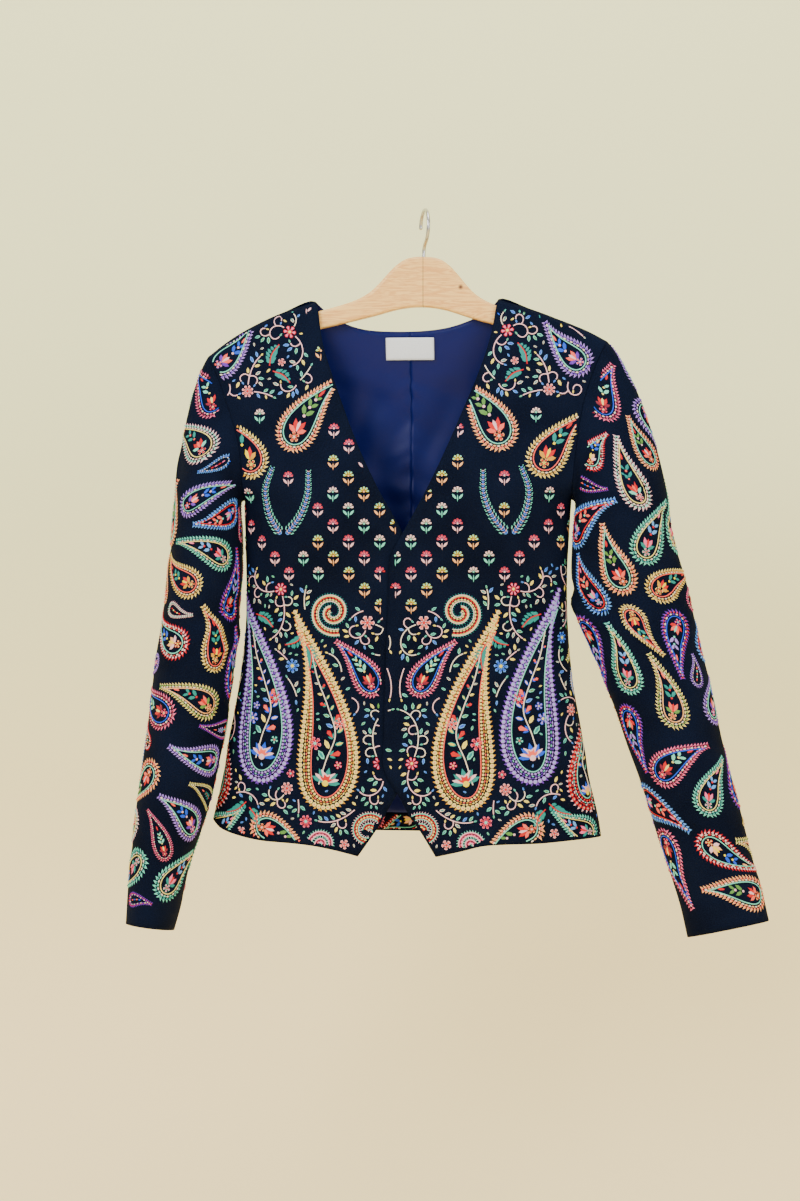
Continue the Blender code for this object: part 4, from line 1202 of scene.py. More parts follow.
def small_paisley(work, shape):
    """A drop with two-coloured barbs and a corded rim, filled with leaves and flowers."""
    palette = PALETTES[shape.palette]
    rim = paisley_rim(shape)
    foot = len(rim) // 2
    size = min(max(shape.width / 23, 0.72), 1.3)
    for path, side in ((rim[:foot + 1][::-1], -1), (rim[foot:], 1)):
        edge = resampled(beside(path, side * 0.3 * size), 3.0 * size)
        for k, (place, way) in enumerate(zip(edge, headings(edge))):
            barb = way * turned(side * 60) * 5.4 * size * (1 - 0.35 * k / len(edge))
            work.petal(place - barb * 0.12, place + barb, 3.3 * size, palette.rim, BARB)
            work.petal(place - barb * 0.05, place + barb * 0.6, 2.3 * size, palette.second, BARB, 1.35)
    work.links(paisley_rim(shape, 0.6 * size), 3.2 * size, 1.9 * size, ("cream", palette.rim), 0.9)
    if shape.width > 19:
        work.cordline(paisley_rim(shape, 2.6 * size)[3:-3], 1.2 * size, palette.line, 0.7, 2.4 * size)
        posy(work, shape, palette)
    elif shape.width > 13:
        posy(work, shape, palette)
    else:
        spine = smooth_path([paisley_place(shape, share) for share in (0.14, 0.4, 0.66)])
        work.links(spine, 3.4, 1.9, (palette.petal, palette.line), 0.9)


def grand_paisley(work, shape):
    """A long drop: a broad scalloped and beaded border round a flowering stalk."""
    palette = PALETTES[shape.palette]
    rim = paisley_rim(shape, 0.0, 160)
    foot = len(rim) // 2
    for path, side in ((rim[:foot + 1][::-1], -1), (rim[foot:], 1)):
        work.barbs(beside(path, side * 1.6), side, 3.8, 3.0, 24, 5.0, (palette.second,), 0.2)
    work.beads(rim, 3.0, 5.0, (palette.rim,), 0.9)
    work.beads(rim, 1.5, 5.0, (palette.line,), 1.5)
    work.links(paisley_rim(shape, 3.6, 160)[2:-2], 3.4, 2.1, (palette.rim, palette.rim, palette.second), 0.9)
    work.links(paisley_rim(shape, 5.6, 160)[4:-4], 3.4, 1.7, (palette.second, palette.line), 0.8)
    work.beads(paisley_rim(shape, 8.0, 160)[8:-8], 1.7, 3.6, (palette.rim,), 0.9)
    work.cordline(paisley_rim(shape, 10.4, 160)[11:-11], 1.5, palette.line)
    shares = (0.12, 0.26, 0.4, 0.54, 0.68, 0.8)
    spine = [paisley_place(shape, share, 0.26 * math.sin(11 * share)) for share in shares]
    path = smooth_path(spine)
    work.cordline(path, 1.6, "cream")
    ways = headings(path)
    for k, index in enumerate(range(12, len(path) - 2, 3)):
        share = index / len(path)
        reach = shape.width * 0.22 * (1.15 - share)
        way = ways[index] * turned((1 if k % 2 else -1) * 52)
        if k % 3 == 1:
            bud(work, path[index] + way, way, reach * 1.2, (palette.petal, palette.rim, palette.leaf))
        else:
            flosses = (palette.leaf, palette.heart) if k % 2 else LEAVES[k % len(LEAVES)]
            leaf(work, path[index], way, reach * 1.3, flosses)
    for share, side in ((0.33, 0.52), (0.47, -0.5)):
        flowers = BLOOMS[int(abs(shape.turn) + 10 * share) % len(BLOOMS)]
        bloom(work, paisley_place(shape, share, side), shape.width * 0.125, flowers, 6, shape.turn)
    base = paisley_place(shape, 0.135)
    up = turned(shape.turn + 90)
    for reach, fan, floss in ((0.3, 78, palette.leaf), (0.27, 62, "pale_pink"), (0.21, 50, palette.petal)):
        for share in (-1, -0.5, 0, 0.5, 1):
            tip = base + up * turned(share * fan) * shape.width * reach
            work.petal(base, tip, shape.width * 0.12, floss, LEAF, 0.9)
    work.knot(base, shape.width * 0.07, palette.heart, 1.3, 8)


class Ground:
    """Which square millimetres of a panel are cloth, and which have stitches on them already."""

    def __init__(self, lattice):
        middles = np.arange(GROUND_WIDTH) - (GROUND_WIDTH - 1) / 2
        self.across, self.height = np.meshgrid(middles, -0.5 - np.arange(GROUND_HEIGHT))
        points, _ = lattice_values(lattice, (self.across + 1j * self.height).ravel())
        self.cloth = ~np.isnan(points[:, 0]).reshape(self.across.shape)
        self.open = self.cloth.copy()
        self.taken = np.zeros(self.across.shape, bool)
        self.seen = 0

    def keep_to(self, box, slope):
        """Leaves only the cloth inside the box free. Its top falls towards its left by the slope."""
        left, bottom, right, top = box
        inside = (self.across > left) & (self.across < right) & (self.height > bottom)
        self.open = self.cloth & inside & (self.height < top - slope * (right - self.across))

    def window(self, place, radius):
        """The rows and columns of the squares round a place."""
        row, column, reach = int(-place.imag), int(place.real + GROUND_WIDTH / 2), math.ceil(radius)
        return slice(max(row - reach, 0), row + reach + 1), slice(max(column - reach, 0), column + reach + 1)

    def cover(self, work, radius=1.0):
        for place in work.places[self.seen:]:
            self.taken[self.window(place, radius)] = True
        self.seen = len(work.places)

    def is_bare(self, place, radius):
        return not self.taken[self.window(place, radius)].any()

    def is_free(self, place, radius):
        return self.is_bare(place, radius) and bool(self.open[self.window(place, radius)].all())


def scattered(box, step, rng):
    """Places all over a box, in a random order."""
    left, bottom, right, top = box
    places = [complex(x, y) for x in np.arange(left, right, step) for y in np.arange(bottom, top, step)]
    rng.shuffle(places)
    return [place + complex(rng.uniform(-0.5, 0.5), rng.uniform(-0.5, 0.5)) * step for place in places]


def wander(ground, start, way, curve, tighter, clear):
    """A stalk that winds off through free ground and curls up more and more tightly."""
    path = [start]
    for k in range(VINE_STEPS):
        curve *= tighter
        way *= turned(curve)
        place = path[-1] + way * VINE_STRIDE
        if abs(curve) > TIGHTEST_CURL or k > 2 and not ground.is_free(place, clear):
            break
        if k > 1 and not ground.is_free(place, 0):
            break
        if any(abs(place - before) < VINE_APART for before in path[:-6]):
            break
        path.append(place)
    return np.array(path)


def sprout(work, ground, rng, tip, way):
    """What a stalk ends in: a flower where there is room, else a bud or a leaf."""
    ground.cover(work, 0.4)
    radius = rng.uniform(4.6, 6.4)
    if ground.is_free(tip + way * (radius + 1.2), radius - 1.6):
        flosses, petals = rng.choice(BLOOMS), rng.choice((5, 6, 8))
        bloom(work, tip + way * radius * 0.9, radius, flosses, petals, rng.uniform(0, 72))
    elif ground.is_free(tip + way * 5.5, 2):
        tulip(work, tip, way, 9.0, rng.choice(BLOOMS))
    else:
        leaf(work, tip, way, 5.5, rng.choice(LEAVES))
    ground.cover(work, 0.4)


def grow_vine(work, ground, rng, start, way, least, clear, branches=True):
    """A winding stalk with leaves on both sides, and curling side shoots, wherever there is room."""
    hand = rng.choice((-1, 1))
    shapes = [(hand, 1.04), (-hand, 1.04), (hand * 2.6, 1.035), (-hand * 2.6, 1.035), (hand * 5.5, 1.05)]
    if not branches:
        shapes = [(hand * 8, 1.09), (-hand * 8, 1.09)]
    paths = (wander(ground, start, way, 1.4 * curve, tighter, clear) for curve, tighter in shapes)
    path = max(paths, key=len)
    if len(path) < least:
        return
    work.cordline(path, 1.5, rng.choice(("pale_pink", "pale_pink", "cream")), 0.6, 2.3)
    ways = headings(path)
    sprout(work, ground, rng, path[-1], ways[-1])
    if branches:
        for k in range(5, len(path) - 4, 7):
            for side in (1, -1):
                shoot = ways[k] * turned(side * 48)
                grow_vine(work, ground, rng, path[k], shoot, 7, 1.6, False)
    for k in range(1, len(path) - 1, 2):
        for side in (1, -1):
            out = ways[k] * turned(side * rng.uniform(44, 60))
            for length in (rng.uniform(8.6, 10.4), 6.6, 4.6):
                reach = ground.is_free(path[k] + out * (length - 1.4), 1)
                if reach and ground.is_free(path[k] + out * length * 0.6, 1):
                    leaf(work, path[k] + out * 0.5, out, length, rng.choice(LEAVES))
                    break
            ground.cover(work, 0.3)


def fill_with_vines(work, ground, rng, box, slope):
    """Large flowers with vines growing from them, more vines between, and leaves in what is left."""
    hearts = []
    ground.keep_to(box, slope)
    for place in scattered(box, 5.0, rng):
        if ground.is_free(place, 8) and all(abs(place - heart) > HEARTS_APART for heart in hearts):
            hearts.append(place)
            radius = rng.uniform(7.0, 8.6)
            flosses = rng.choice(BLOOMS[:4])
            bloom(work, place, radius, flosses, rng.choice((6, 8, 8)), rng.uniform(0, 60))
            ground.cover(work, 0.4)
            first = rng.uniform(0, 360)
            for k in range(4):
                way = turned(first + 90 * k)
                grow_vine(work, ground, rng, place + way * radius * 1.05, way, 7, 3)
    for least, clear in ((16, 3), (9, 2)):
        for place in scattered(box, 6.0, rng):
            if ground.is_free(place, clear):
                grow_vine(work, ground, rng, place, turned(rng.uniform(0, 360)), least, clear)
    for radius in (5, 4, 3, 2):
        for place in scattered(box, 2.5, rng):
            if not ground.is_free(place, radius):
                continue
            way = turned(rng.uniform(0, 360))
            if radius > 3:
                bloom(work, place, radius + 0.6, rng.choice(BLOOMS), 5, rng.uniform(0, 72))
            else:
                leaf(work, place - way * (radius + 0.9), way, radius * 2 + 1.8, rng.choice(LEAVES))
            ground.cover(work, 0.4)


def floret_field(work, ground, line):
    """Staggered rows of florets, one colour to each diagonal, on both sides of the line."""
    _, bottom, right, top = FLORET_FIELD
    reach = int(right / FLORET_SPACING) + 1
    for i in range(int((top - bottom) / FLORET_DROP) + 1):
        for j in range(-reach, reach + 1):
            across = (j + 0.5 * (i % 2)) * FLORET_SPACING
            place = complex(line + across, top - i * FLORET_DROP)
            if abs(across) < right and ground.is_bare(place, FLORET_CLEAR):
                diagonal = round(abs(across) / FLORET_SPACING * 2 + i) // 2
                floret(work, place, FLORETS[diagonal % len(FLORETS)])
    ground.cover(work)


# The layout of one half of the body. Distances are along the cloth from the line it is mirrored about.
FRONT_MIRROR_LINE = -8.0
GRAND_DROPS = table(
    Paisley, (54, -526, 15, 186, 60, 1.3, "gold"), (124, -500, 14, 184, 58, 1.25, "lavender"),
    (194, -560, 12, 118, 44, 1.1, "crimson"),
)
SMALL_DROPS = table(
    Paisley, (118, -640, 96, 62, 28, -0.8, "peach"), (186, -640, 84, 50, 24, 0.7, "teal"),
    (32, -470, -18, 62, 25, 0.8, "rose"), (206, -444, 160, 56, 24, 0.6, "moss"),
    (160, -238, -16, 74, 34, 0.8, "gold"), (98, -206, 16, 84, 36, -0.8, "peach"),
    (170, -150, 66, 58, 28, 0.8, "lavender"),
)
SPIRALS = table(
    Curl, (66, -416, 250, 22, 1, "gold"), (28, -640, 200, 19, -1, "shell"),
    (206, -488, 120, 18, 1, "cobalt"), (76, -654, 20, 13, 1, "rose"),
)
JAGGED = table(
    Jagged, (92, -448, 250, 27), (96, -440, 320, 22), (158, -612, 320, 26), (154, -618, 230, 22),
    (150, -418, 200, 24), (134, -160, 100, 24), (130, -166, 200, 22),
)
FEATHERS = (
    ((121, -336), (134, -316), (138, -292), (130, -268)),
    ((115, -336), (100, -318), (91, -296), (90, -272)),
)
SCROLL_FLOSSES = {
    "cobalt": ("cream", "sky", "cobalt", "sky"),
    "gold": ("cream", "straw", "crimson", "teal"),
    "shell": ("mint", "crimson", "straw", "pale_pink"),
    "rose": ("pale_pink", "pink", "maroon", "mint"),
}
SLEEVE_PALETTES = ("peach", "crimson", "lavender", "teal", "plum", "gold", "cobalt", "moss", "shell", "rose")
SLEEVE_DROPS = table(
    DropSize, (62, 27, 2), (52, 25, 3), (44, 22, 5), (50, 16, 5), (36, 16, 6), (27, 12, 6),
)
SLEEVE_SWING = 38.0
FACING_DROP, FACING_SPACING = Paisley(-8, -634, 90, 40, 22, 0.5, "crimson"), 42.0
FACING_PALETTES = ("crimson", "lavender", "rose")
FRONT_SEED, BACK_SEED, SLEEVE_SEED = 11, 21, 31

# How far apart florets, large flowers and the turns of a vine are, and how a vine grows
FLORET_SPACING, FLORET_DROP, FLORET_CLEAR = 32.0, 16.4, 5.4
HEARTS_APART, VINE_APART = 38.0, 4.5
VINE_STEPS, VINE_STRIDE, TIGHTEST_CURL = 80, 1.7, 34.0

# Fields of stitches, each from its left and bottom to its right and top
FLORET_FIELD = (0.0, -428.0, 215.0, -96.0)
VINE_FIELD, VINE_SLOPE = (2.0, -680.0, 225.0, -342.0), 0.36
SHOULDER_FIELD = (60.0, -196.0, 196.0, -100.0)
SLEEVE_FIELD = (-170.0, -724.0, 170.0, -90.0)
PLAIN_CUFF = -722


def large_motifs(work, line):
    """The drops, spirals, toothed leaves and feathers of one half of the body."""
    for shape in GRAND_DROPS:
        grand_paisley(work, shape._replace(across=line + shape.across))
    for shape in SMALL_DROPS:
        small_paisley(work, shape._replace(across=line + shape.across))
    for curl in SPIRALS:
        centre = complex(line + curl.across, curl.height)
        path = spiral_path(centre, curl.radius, curl.turn, 1.5, curl.hand, 0.16)
        scroll(work, path, SCROLL_FLOSSES[curl.palette], curl.radius * 0.34)
    for tooth in JAGGED:
        base = complex(line + tooth.across, tooth.height)
        jagged_leaf(work, base, turned(tooth.turn), tooth.size, ("teal", "crimson"))
    for knots in FEATHERS:
        feather(work, [(line + x, y) for x, y in knots], 8.0, ("cobalt", "sky", "pale_pink", "mint"))


def embroider_body(lattice, line, rng):
    """Half the stitches of a front or of the back, and the same ones mirrored about the line."""
    work, ground = Needlework(), Ground(lattice)
    large_motifs(work, line)
    ground.cover(work)
    for (left, bottom, right, top), slope in ((VINE_FIELD, VINE_SLOPE), (SHOULDER_FIELD, 0.0)):
        fill_with_vines(work, ground, rng, (line + left, bottom, line + right, top), slope)
    work.mirror(line)
    ground.cover(work)
    floret_field(work, ground, line)
    return work


def embroider_sleeve(lattice, rng):
    """Drops scattered at all angles, closely but clear of each other. Few of them cross a seam."""
    work, ground = Needlework(), Ground(lattice)
    ground.taken[-PLAIN_CUFF:] = True
    latest = []
    places = [place for place in scattered(SLEEVE_FIELD, 4.0, rng) if ground.is_free(place, 0)]
    for length, width, tries in SLEEVE_DROPS:
        for place in places * tries:
            if not ground.is_bare(place, width * 0.42):
                continue
            swing = SLEEVE_SWING * math.sin(place.real / 45 + place.imag / 80)
            turn = swing + rng.choice((0, 0, 18, -18, 180, 60)) + rng.uniform(-12, 12)
            grown = rng.uniform(0.93, 1.08)
            bend = rng.choice((-1, 1)) * rng.uniform(0.6, 1.25)
            palette = rng.choice([name for name in SLEEVE_PALETTES if name not in latest])
            shape = Paisley(place.real, place.imag, turn, length * grown, width * grown, bend, palette)
            inside = [paisley_place(shape, share) for share in (0.15, 0.4, 0.65, 0.85)]
            outline = [*inside, *paisley_rim(shape, -4.0, 28)]
            if sum(ground.cloth[ground.window(point, 1)].all() for point in outline) < 0.7 * len(outline):
                continue
            if all(ground.is_bare(point, 1) for point in outline):
                small_paisley(work, shape)
                ground.cover(work, 0.6)
                latest = [*latest[-3:], palette]
    return work


def embroider_facing():
    """A row of small drops along the turned-up band."""
    work = Needlework()
    for k in range(-5, 6):
        across = FACING_DROP.across + FACING_SPACING * k
        bend = FACING_DROP.bend if k % 2 else -FACING_DROP.bend
        palette = FACING_PALETTES[k % len(FACING_PALETTES)]
        small_paisley(work, FACING_DROP._replace(across=across, bend=bend, palette=palette))
    return work


def lay_on(name, work, lattice):
    """A mesh of the stitches that lie wholly on the panel. The others would cross a seam."""
    places = np.array(work.places)
    points, normals = lattice_values(lattice, places)
    rises = np.array(work.rises)
    laid = points + normals * rises[:, None]
    faces, stitches = np.array(work.faces), np.array(work.stitches)
    off = np.isnan(laid[:, 0])
    lost = np.zeros(work.count, bool)
    np.logical_or.at(lost, stitches, off[faces].any(axis=1))
    kept = ~lost[stitches]
    faces, colours = faces[kept], np.array(work.flosses)[kept]
    used = np.unique(faces)
    fresh = np.zeros(len(places), int)
    fresh[used] = np.arange(len(used))
    faces = fresh[faces]
    if lattice.flipped:
        faces = faces[:, ::-1]
    mesh = bpy.data.meshes.new(name)
    mesh.from_pydata((laid[used] * MM).tolist(), [], faces.tolist())
    layer = mesh.uv_layers.new(name="Strands")
    strands = np.array(work.strands)[used] * MM
    layer.data.foreach_set("uv", strands[faces.ravel()].ravel())
    for floss in FLOSSES:
        mesh.materials.append(floss_material(floss))
    mesh.polygons.foreach_set("material_index", colours)
    mesh.shade_smooth()
    return add_object(name, mesh)


# Materials

# The knot's and the joint's places on the board, in metres
KNOT_PLACE, KNOT_COLOUR = (0.0375, -0.006, -0.079), (0.13, 0.05, 0.02, 1.0)
JOINT_X = -0.0016


def screen_colour(red, green, blue):
    """A colour as it looks on a screen, 0 to 255, as linear values, a little richer than it looks."""
    values = (channel / 255 for channel in (red, green, blue))
    linear = [v / 12.92 if v <= 0.04045 else ((v + 0.055) / 1.055) ** 2.4 for v in values]
    grey = sum(linear) / 3
    return tuple(min(max(grey + 1.28 * (v - grey), 0.003), 1.0) for v in linear)


def add_node(tree, kind, **settings):
    """A node with its properties set, and its inputs by name where the name is an input's."""
    node = tree.nodes.new(kind)
    inputs = settings.pop("inputs", {})
    for key, value in settings.items():
        setattr(node, key, value)
    for key, value in inputs.items():
        if isinstance(value, bpy.types.NodeSocket):
            tree.links.new(value, node.inputs[key])
        else:
            node.inputs[key].default_value = value
    return node


def math_node(tree, operation, *values):
    return add_node(tree, "ShaderNodeMath", operation=operation, inputs=dict(enumerate(values))).outputs[0]


def mapped(tree, value, source, target=(0.0, 1.0), **settings):
    """A value carried from one range to another."""
    inputs = {"Value": value, **dict(enumerate((*source, *target), 1))}
    return add_node(tree, "ShaderNodeMapRange", inputs=inputs, **settings).outputs[0]


def noise(tree, place, scale, detail, roughness=0.5, distortion=0.0):
    inputs = {"Vector": place, "Scale": scale, "Detail": detail}
    inputs.update(Roughness=roughness, Distortion=distortion)
    return add_node(tree, "ShaderNodeTexNoise", inputs=inputs).outputs["Fac"]


def shaded_between(tree, share, first, second):
    """One colour shading into another."""
    inputs = {"Factor": share, 6: first, 7: second}
    return add_node(tree, "ShaderNodeMix", data_type="RGBA", inputs=inputs).outputs[2]


def ribs(tree, distance, pitch):
    """A wave along a distance, from -1 to 1, of a given pitch."""
    turns = math_node(tree, "DIVIDE", distance, pitch)
    return math_node(tree, "SINE", math_node(tree, "MULTIPLY", turns, 2 * math.pi))


def separated(tree, vector):
    return add_node(tree, "ShaderNodeSeparateXYZ", inputs={0: vector}).outputs


def emboss(tree, shader, height, strength, distance):
    """Fine relief on a material."""
    inputs = {"Height": height, "Strength": strength, "Distance": distance}
    relief = add_node(tree, "ShaderNodeBump", inputs=inputs)
    tree.links.new(relief.outputs[0], shader.inputs["Normal"])


def new_group(name, inputs):
    """A node group with its input sockets, and its input node's outputs."""
    group = bpy.data.node_groups.new(name, "ShaderNodeTree")
    for label, kind, value in inputs:
        socket = group.interface.new_socket(name=label, in_out="INPUT", socket_type="NodeSocket" + kind)
        if value is not None:
            socket.default_value = value
    return group, group.nodes.new("NodeGroupInput").outputs


def give_out(group, *outputs):
    """Gives a node group its outputs, as rows of name, kind and value."""
    for label, kind, _ in outputs:
        group.interface.new_socket(name=label, in_out="OUTPUT", socket_type="NodeSocket" + kind)
    outs = group.nodes.new("NodeGroupOutput").inputs
    for label, _, value in outputs:
        group.links.new(value, outs[label])
    return group


def weave_group():
    """Twill or satin: slanting ribs of a given pitch, uneven yarn and a slightly worn colour."""
    if "Weave" in bpy.data.node_groups:
        return bpy.data.node_groups["Weave"]
    group, ins = new_group("Weave", (
        ("Vector", "Vector", None), ("Colour", "Color", None),
        ("Pitch", "Float", 0.001), ("Speckle", "Float", 0.3),
    ))
    x, y, _ = separated(group, ins["Vector"])
    rib = ribs(group, math_node(group, "ADD", x, y), ins["Pitch"])
    yarn = noise(group, ins["Vector"], scale=900.0, detail=2.0, roughness=0.6)
    fade = noise(group, ins["Vector"], scale=14.0, detail=3.0)
    height = math_node(group, "ADD", math_node(group, "MULTIPLY", rib, 0.35), yarn)
    grey, wear = mapped(group, yarn, (0.3, 0.7), (-1.0, 1.0)), mapped(group, fade, (0.3, 0.7), (-0.5, 0.5))
    lift = math_node(group, "MULTIPLY_ADD", math_node(group, "ADD", grey, wear), ins["Speckle"], 1.0)
    inputs = {0: ins["Colour"], "Scale": lift}
    colour = add_node(group, "ShaderNodeVectorMath", operation="SCALE", inputs=inputs)
    return give_out(group, ("Colour", "Color", colour.outputs[0]), ("Height", "Float", height))


def strand_group():
    """Fine parallel strands along a stitch."""
    if "Strands" in bpy.data.node_groups:
        return bpy.data.node_groups["Strands"]
    group, ins = new_group("Strands", (("Vector", "Vector", None), ("Pitch", "Float", STRAND_PITCH)))
    x, y, _ = separated(group, ins["Vector"])
    wave = ribs(group, math_node(group, "MULTIPLY_ADD", y, 0.35, x), ins["Pitch"])
    height = math_node(group, "MULTIPLY_ADD", wave, 0.5, 0.5)
    rough = mapped(group, height, (0.0, 1.0), (0.62, 0.42))
    return give_out(group, ("Height", "Float", height), ("Roughness", "Float", rough))


def new_material(name, **sockets):
    """A material with a plain Principled shader, its own sockets set by name."""
    material = bpy.data.materials.new(name)
    material.use_nodes = True
    shader = material.node_tree.nodes["Principled BSDF"]
    for key, value in sockets.items():
        shader.inputs[key.replace("_", " ")].default_value = value
    return material, material.node_tree, shader


def cloth_material(name, colour, pitch, speckle, relief, **sockets):
    if name in bpy.data.materials:
        return bpy.data.materials[name]
    material, tree, shader = new_material(name, **sockets)
    cut = add_node(tree, "ShaderNodeUVMap", uv_map="Cut").outputs[0]
    inputs = {"Vector": cut, "Colour": (*colour, 1.0), "Pitch": pitch, "Speckle": speckle}
    weave = add_node(tree, "ShaderNodeGroup", node_tree=weave_group(), inputs=inputs)
    emboss(tree, shader, weave.outputs["Height"], relief, 0.0003)
    tree.links.new(weave.outputs["Colour"], shader.inputs["Base Color"])
    return material


def navy_cloth():
    return cloth_material(
        "navy_twill", bpy.context.scene.jacket_cloth.cloth_colour, pitch=0.0011, speckle=0.6, relief=0.6,
        Roughness=0.9, Specular_IOR_Level=0.05,
    )


def satin_lining():
    return cloth_material(
        "blue_satin", bpy.context.scene.jacket_cloth.lining_colour, pitch=0.0006, speckle=0.14, relief=0.12,
        Roughness=0.4, Specular_IOR_Level=0.2,
    )


def label_satin():
    return cloth_material(
        "white_satin", bpy.context.scene.jacket_cloth.label_colour, pitch=0.0007, speckle=0.06, relief=0.25,
        Roughness=0.42, Sheen_Weight=0.2,
    )


def floss_material(floss):
    """Shiny stranded thread of one colour."""
    name = f"floss_{floss.name}"
    if name in bpy.data.materials:
        return bpy.data.materials[name]
    colour = getattr(bpy.context.scene.jacket_threads, floss.name)
    material, tree, shader = new_material(name, Base_Color=(*colour, 1.0), Specular_IOR_Level=0.35)
    along = add_node(tree, "ShaderNodeUVMap", uv_map="Strands").outputs[0]
    strands = add_node(tree, "ShaderNodeGroup", node_tree=strand_group(), inputs={"Vector": along})
    emboss(tree, shader, strands.outputs["Height"], 0.5, 0.00015)
    tree.links.new(strands.outputs["Roughness"], shader.inputs["Roughness"])
    return material


def pine_material():
    """Pale varnished pine: long grain, a few darker streaks, one small knot and the joint in the middle."""
    wood = bpy.context.scene.jacket_hanger
    varnish = {"Roughness": 0.42, "Coat_Weight": 0.25, "Coat_Roughness": 0.25}
    material, tree, shader = new_material("varnished_pine", **varnish)
    place = add_node(tree, "ShaderNodeTexCoord").outputs["Object"]
    inputs = {"Vector": place, "Scale": (5.0, 30.0, 60.0)}
    stretched = add_node(tree, "ShaderNodeMapping", inputs=inputs).outputs[0]
    grain = noise(tree, stretched, scale=2.2, detail=5.0, roughness=0.55, distortion=0.6)
    fine = noise(tree, stretched, scale=14.0, detail=4.0, roughness=0.6)
    rings = math_node(tree, "SINE", math_node(tree, "MULTIPLY", grain, 60.0))
    streaks = math_node(tree, "MULTIPLY_ADD", fine, 0.6, mapped(tree, rings, (-1.0, 1.0), (-0.1, 0.5)))
    ramp = add_node(tree, "ShaderNodeValToRGB", inputs={0: streaks})
    colours = (wood.pale_colour, wood.grain_colour)
    for end, position, colour in zip(ramp.color_ramp.elements, (0.2, 0.85), colours):
        end.position = position
        end.color = (*colour, 1.0)
    off_knot = add_node(tree, "ShaderNodeVectorMath", operation="DISTANCE", inputs={0: place, 1: KNOT_PLACE})
    knot = mapped(tree, off_knot.outputs["Value"], (0.001, 0.0032), (1.0, 0.0))
    off_joint = math_node(tree, "ABSOLUTE", math_node(tree, "ADD", separated(tree, place)[0], -JOINT_X))
    joint = mapped(tree, off_joint, (0.0002, 0.0006), (0.7, 0.0))
    marks = math_node(tree, "MAXIMUM", knot, joint)
    colour = shaded_between(tree, marks, ramp.outputs["Color"], KNOT_COLOUR)
    tree.links.new(colour, shader.inputs["Base Color"])
    emboss(tree, shader, fine, 0.15, 0.0004)
    return material


def steel_material():
    """Bright drawn wire, its shine faintly uneven."""
    colour = (*bpy.context.scene.jacket_hanger.steel_colour, 1.0)
    material, tree, shader = new_material("drawn_steel", Base_Color=colour, Metallic=1.0)
    place = add_node(tree, "ShaderNodeTexCoord").outputs["Object"]
    rough = mapped(tree, noise(tree, place, scale=600.0, detail=3.0), (0.3, 0.7), (0.2, 0.34))
    tree.links.new(rough, shader.inputs["Roughness"])
    return material


# Pieces

SleeveCrease = namedtuple("SleeveCrease", "degrees height reach width depth slant")

# Creases round the sleeves: 0 degrees is the outer side, 90 the front, 180 next to the body
SLEEVE_CREASES = {
    "left": table(
        SleeveCrease, (120, -418, 62, 7, -3.2, 0.35), (150, -452, 48, 7, 2.6, 0.4),
        (70, -300, 60, 9, 2.2, -0.8), (40, -356, 44, 9, -1.8, -0.5), (140, -520, 46, 8, -2.2, 0.3),
        (100, -600, 52, 9, 1.8, 0.25), (60, -668, 48, 8, -1.8, -0.2), (130, -706, 44, 8, 1.8, 0.25),
        (250, -430, 60, 8, -2.6, -0.3), (280, -560, 60, 9, 2.0, 0.3),
    ),
    "right": table(
        SleeveCrease, (150, -404, 60, 8, -4.2, 0.45), (120, -432, 62, 8, 3.0, 0.5),
        (96, -366, 70, 9, 2.6, 0.9), (60, -300, 70, 9, -2.2, 1.1), (140, -486, 50, 8, -2.4, 0.35),
        (90, -560, 52, 9, 2.0, 0.3), (120, -640, 48, 8, -2.0, 0.25), (60, -700, 44, 8, 1.8, -0.2),
        (250, -440, 60, 8, -2.6, -0.3), (280, -580, 60, 9, 2.0, 0.3),
    ),
}

# The sleeve's own radius, and where its creases fade out below the shoulder and its seam
SLEEVE_RADIUS = 50.0
CREASES_BELOW_SHOULDER, CREASE_FADE, CREASE_FADE_ROWS = 30.0, 40.0, 14


def creased_sleeve(skins, side):
    """The sleeve with soft creases that run round it and slant."""
    outer, inner = skins
    normals = outward_normals(outer, inner, True)
    columns = outer.shape[1]
    degrees = 360 * np.arange(columns) / columns
    moved = np.zeros(outer.shape[:2])
    for crease in SLEEVE_CREASES[side]:
        round_it = (degrees - crease.degrees + 180) % 360 - 180
        along = np.radians(round_it)[None, :] * SLEEVE_RADIUS
        off = outer[..., 2] - crease.height - crease.slant * along
        moved += crease.depth * np.exp(-((off / crease.width) ** 2) - (along / crease.reach) ** 4)
    start = SHOULDER_LINE[-1].left - CREASES_BELOW_SHOULDER
    fade = np.clip((start - outer[..., 2]) / CREASE_FADE, 0, 1)
    near_seam = np.clip(np.arange(outer.shape[0]) / CREASE_FADE_ROWS, 0, 1)[:, None]
    shift = (moved * fade * near_seam)[..., None] * normals
    return outer + shift, inner + shift


def front_skins(side):
    return creased(refined((front_grid(side, 0.0), front_grid(side, CLOTH_WALL))))


def back_skins():
    return creased(refined((back_grid(0.0), back_grid(CLOTH_WALL))))


def sleeve_part_skins(side, part):
    """The top or the under sleeve, cut from the whole one and drawn back a little at its seams."""
    whole = sleeve_skins(side)
    seams = [np.array(whole[0][-1][column]) for column in SLEEVE_PARTS[part]]
    outer, inner = creased_sleeve(refined(whole, closed=True), side)
    first, last = (int(np.linalg.norm(outer[-1] - seam, axis=1).argmin()) for seam in seams)
    count = outer.shape[1]
    columns = (first + np.arange((last - first) % count + 1)) % count
    parts = []
    for skin in (outer[:, columns], inner[:, columns]):
        for edge, beyond in ((0, 1), (-1, -2)):
            way = skin[:, beyond] - skin[:, edge]
            skin[:, edge] += way / np.linalg.norm(way, axis=1, keepdims=True) * SEAM_GAP / 2
        parts.append(skin)
    return parts, int((-first) % count) if part == "top" else len(columns) // 2


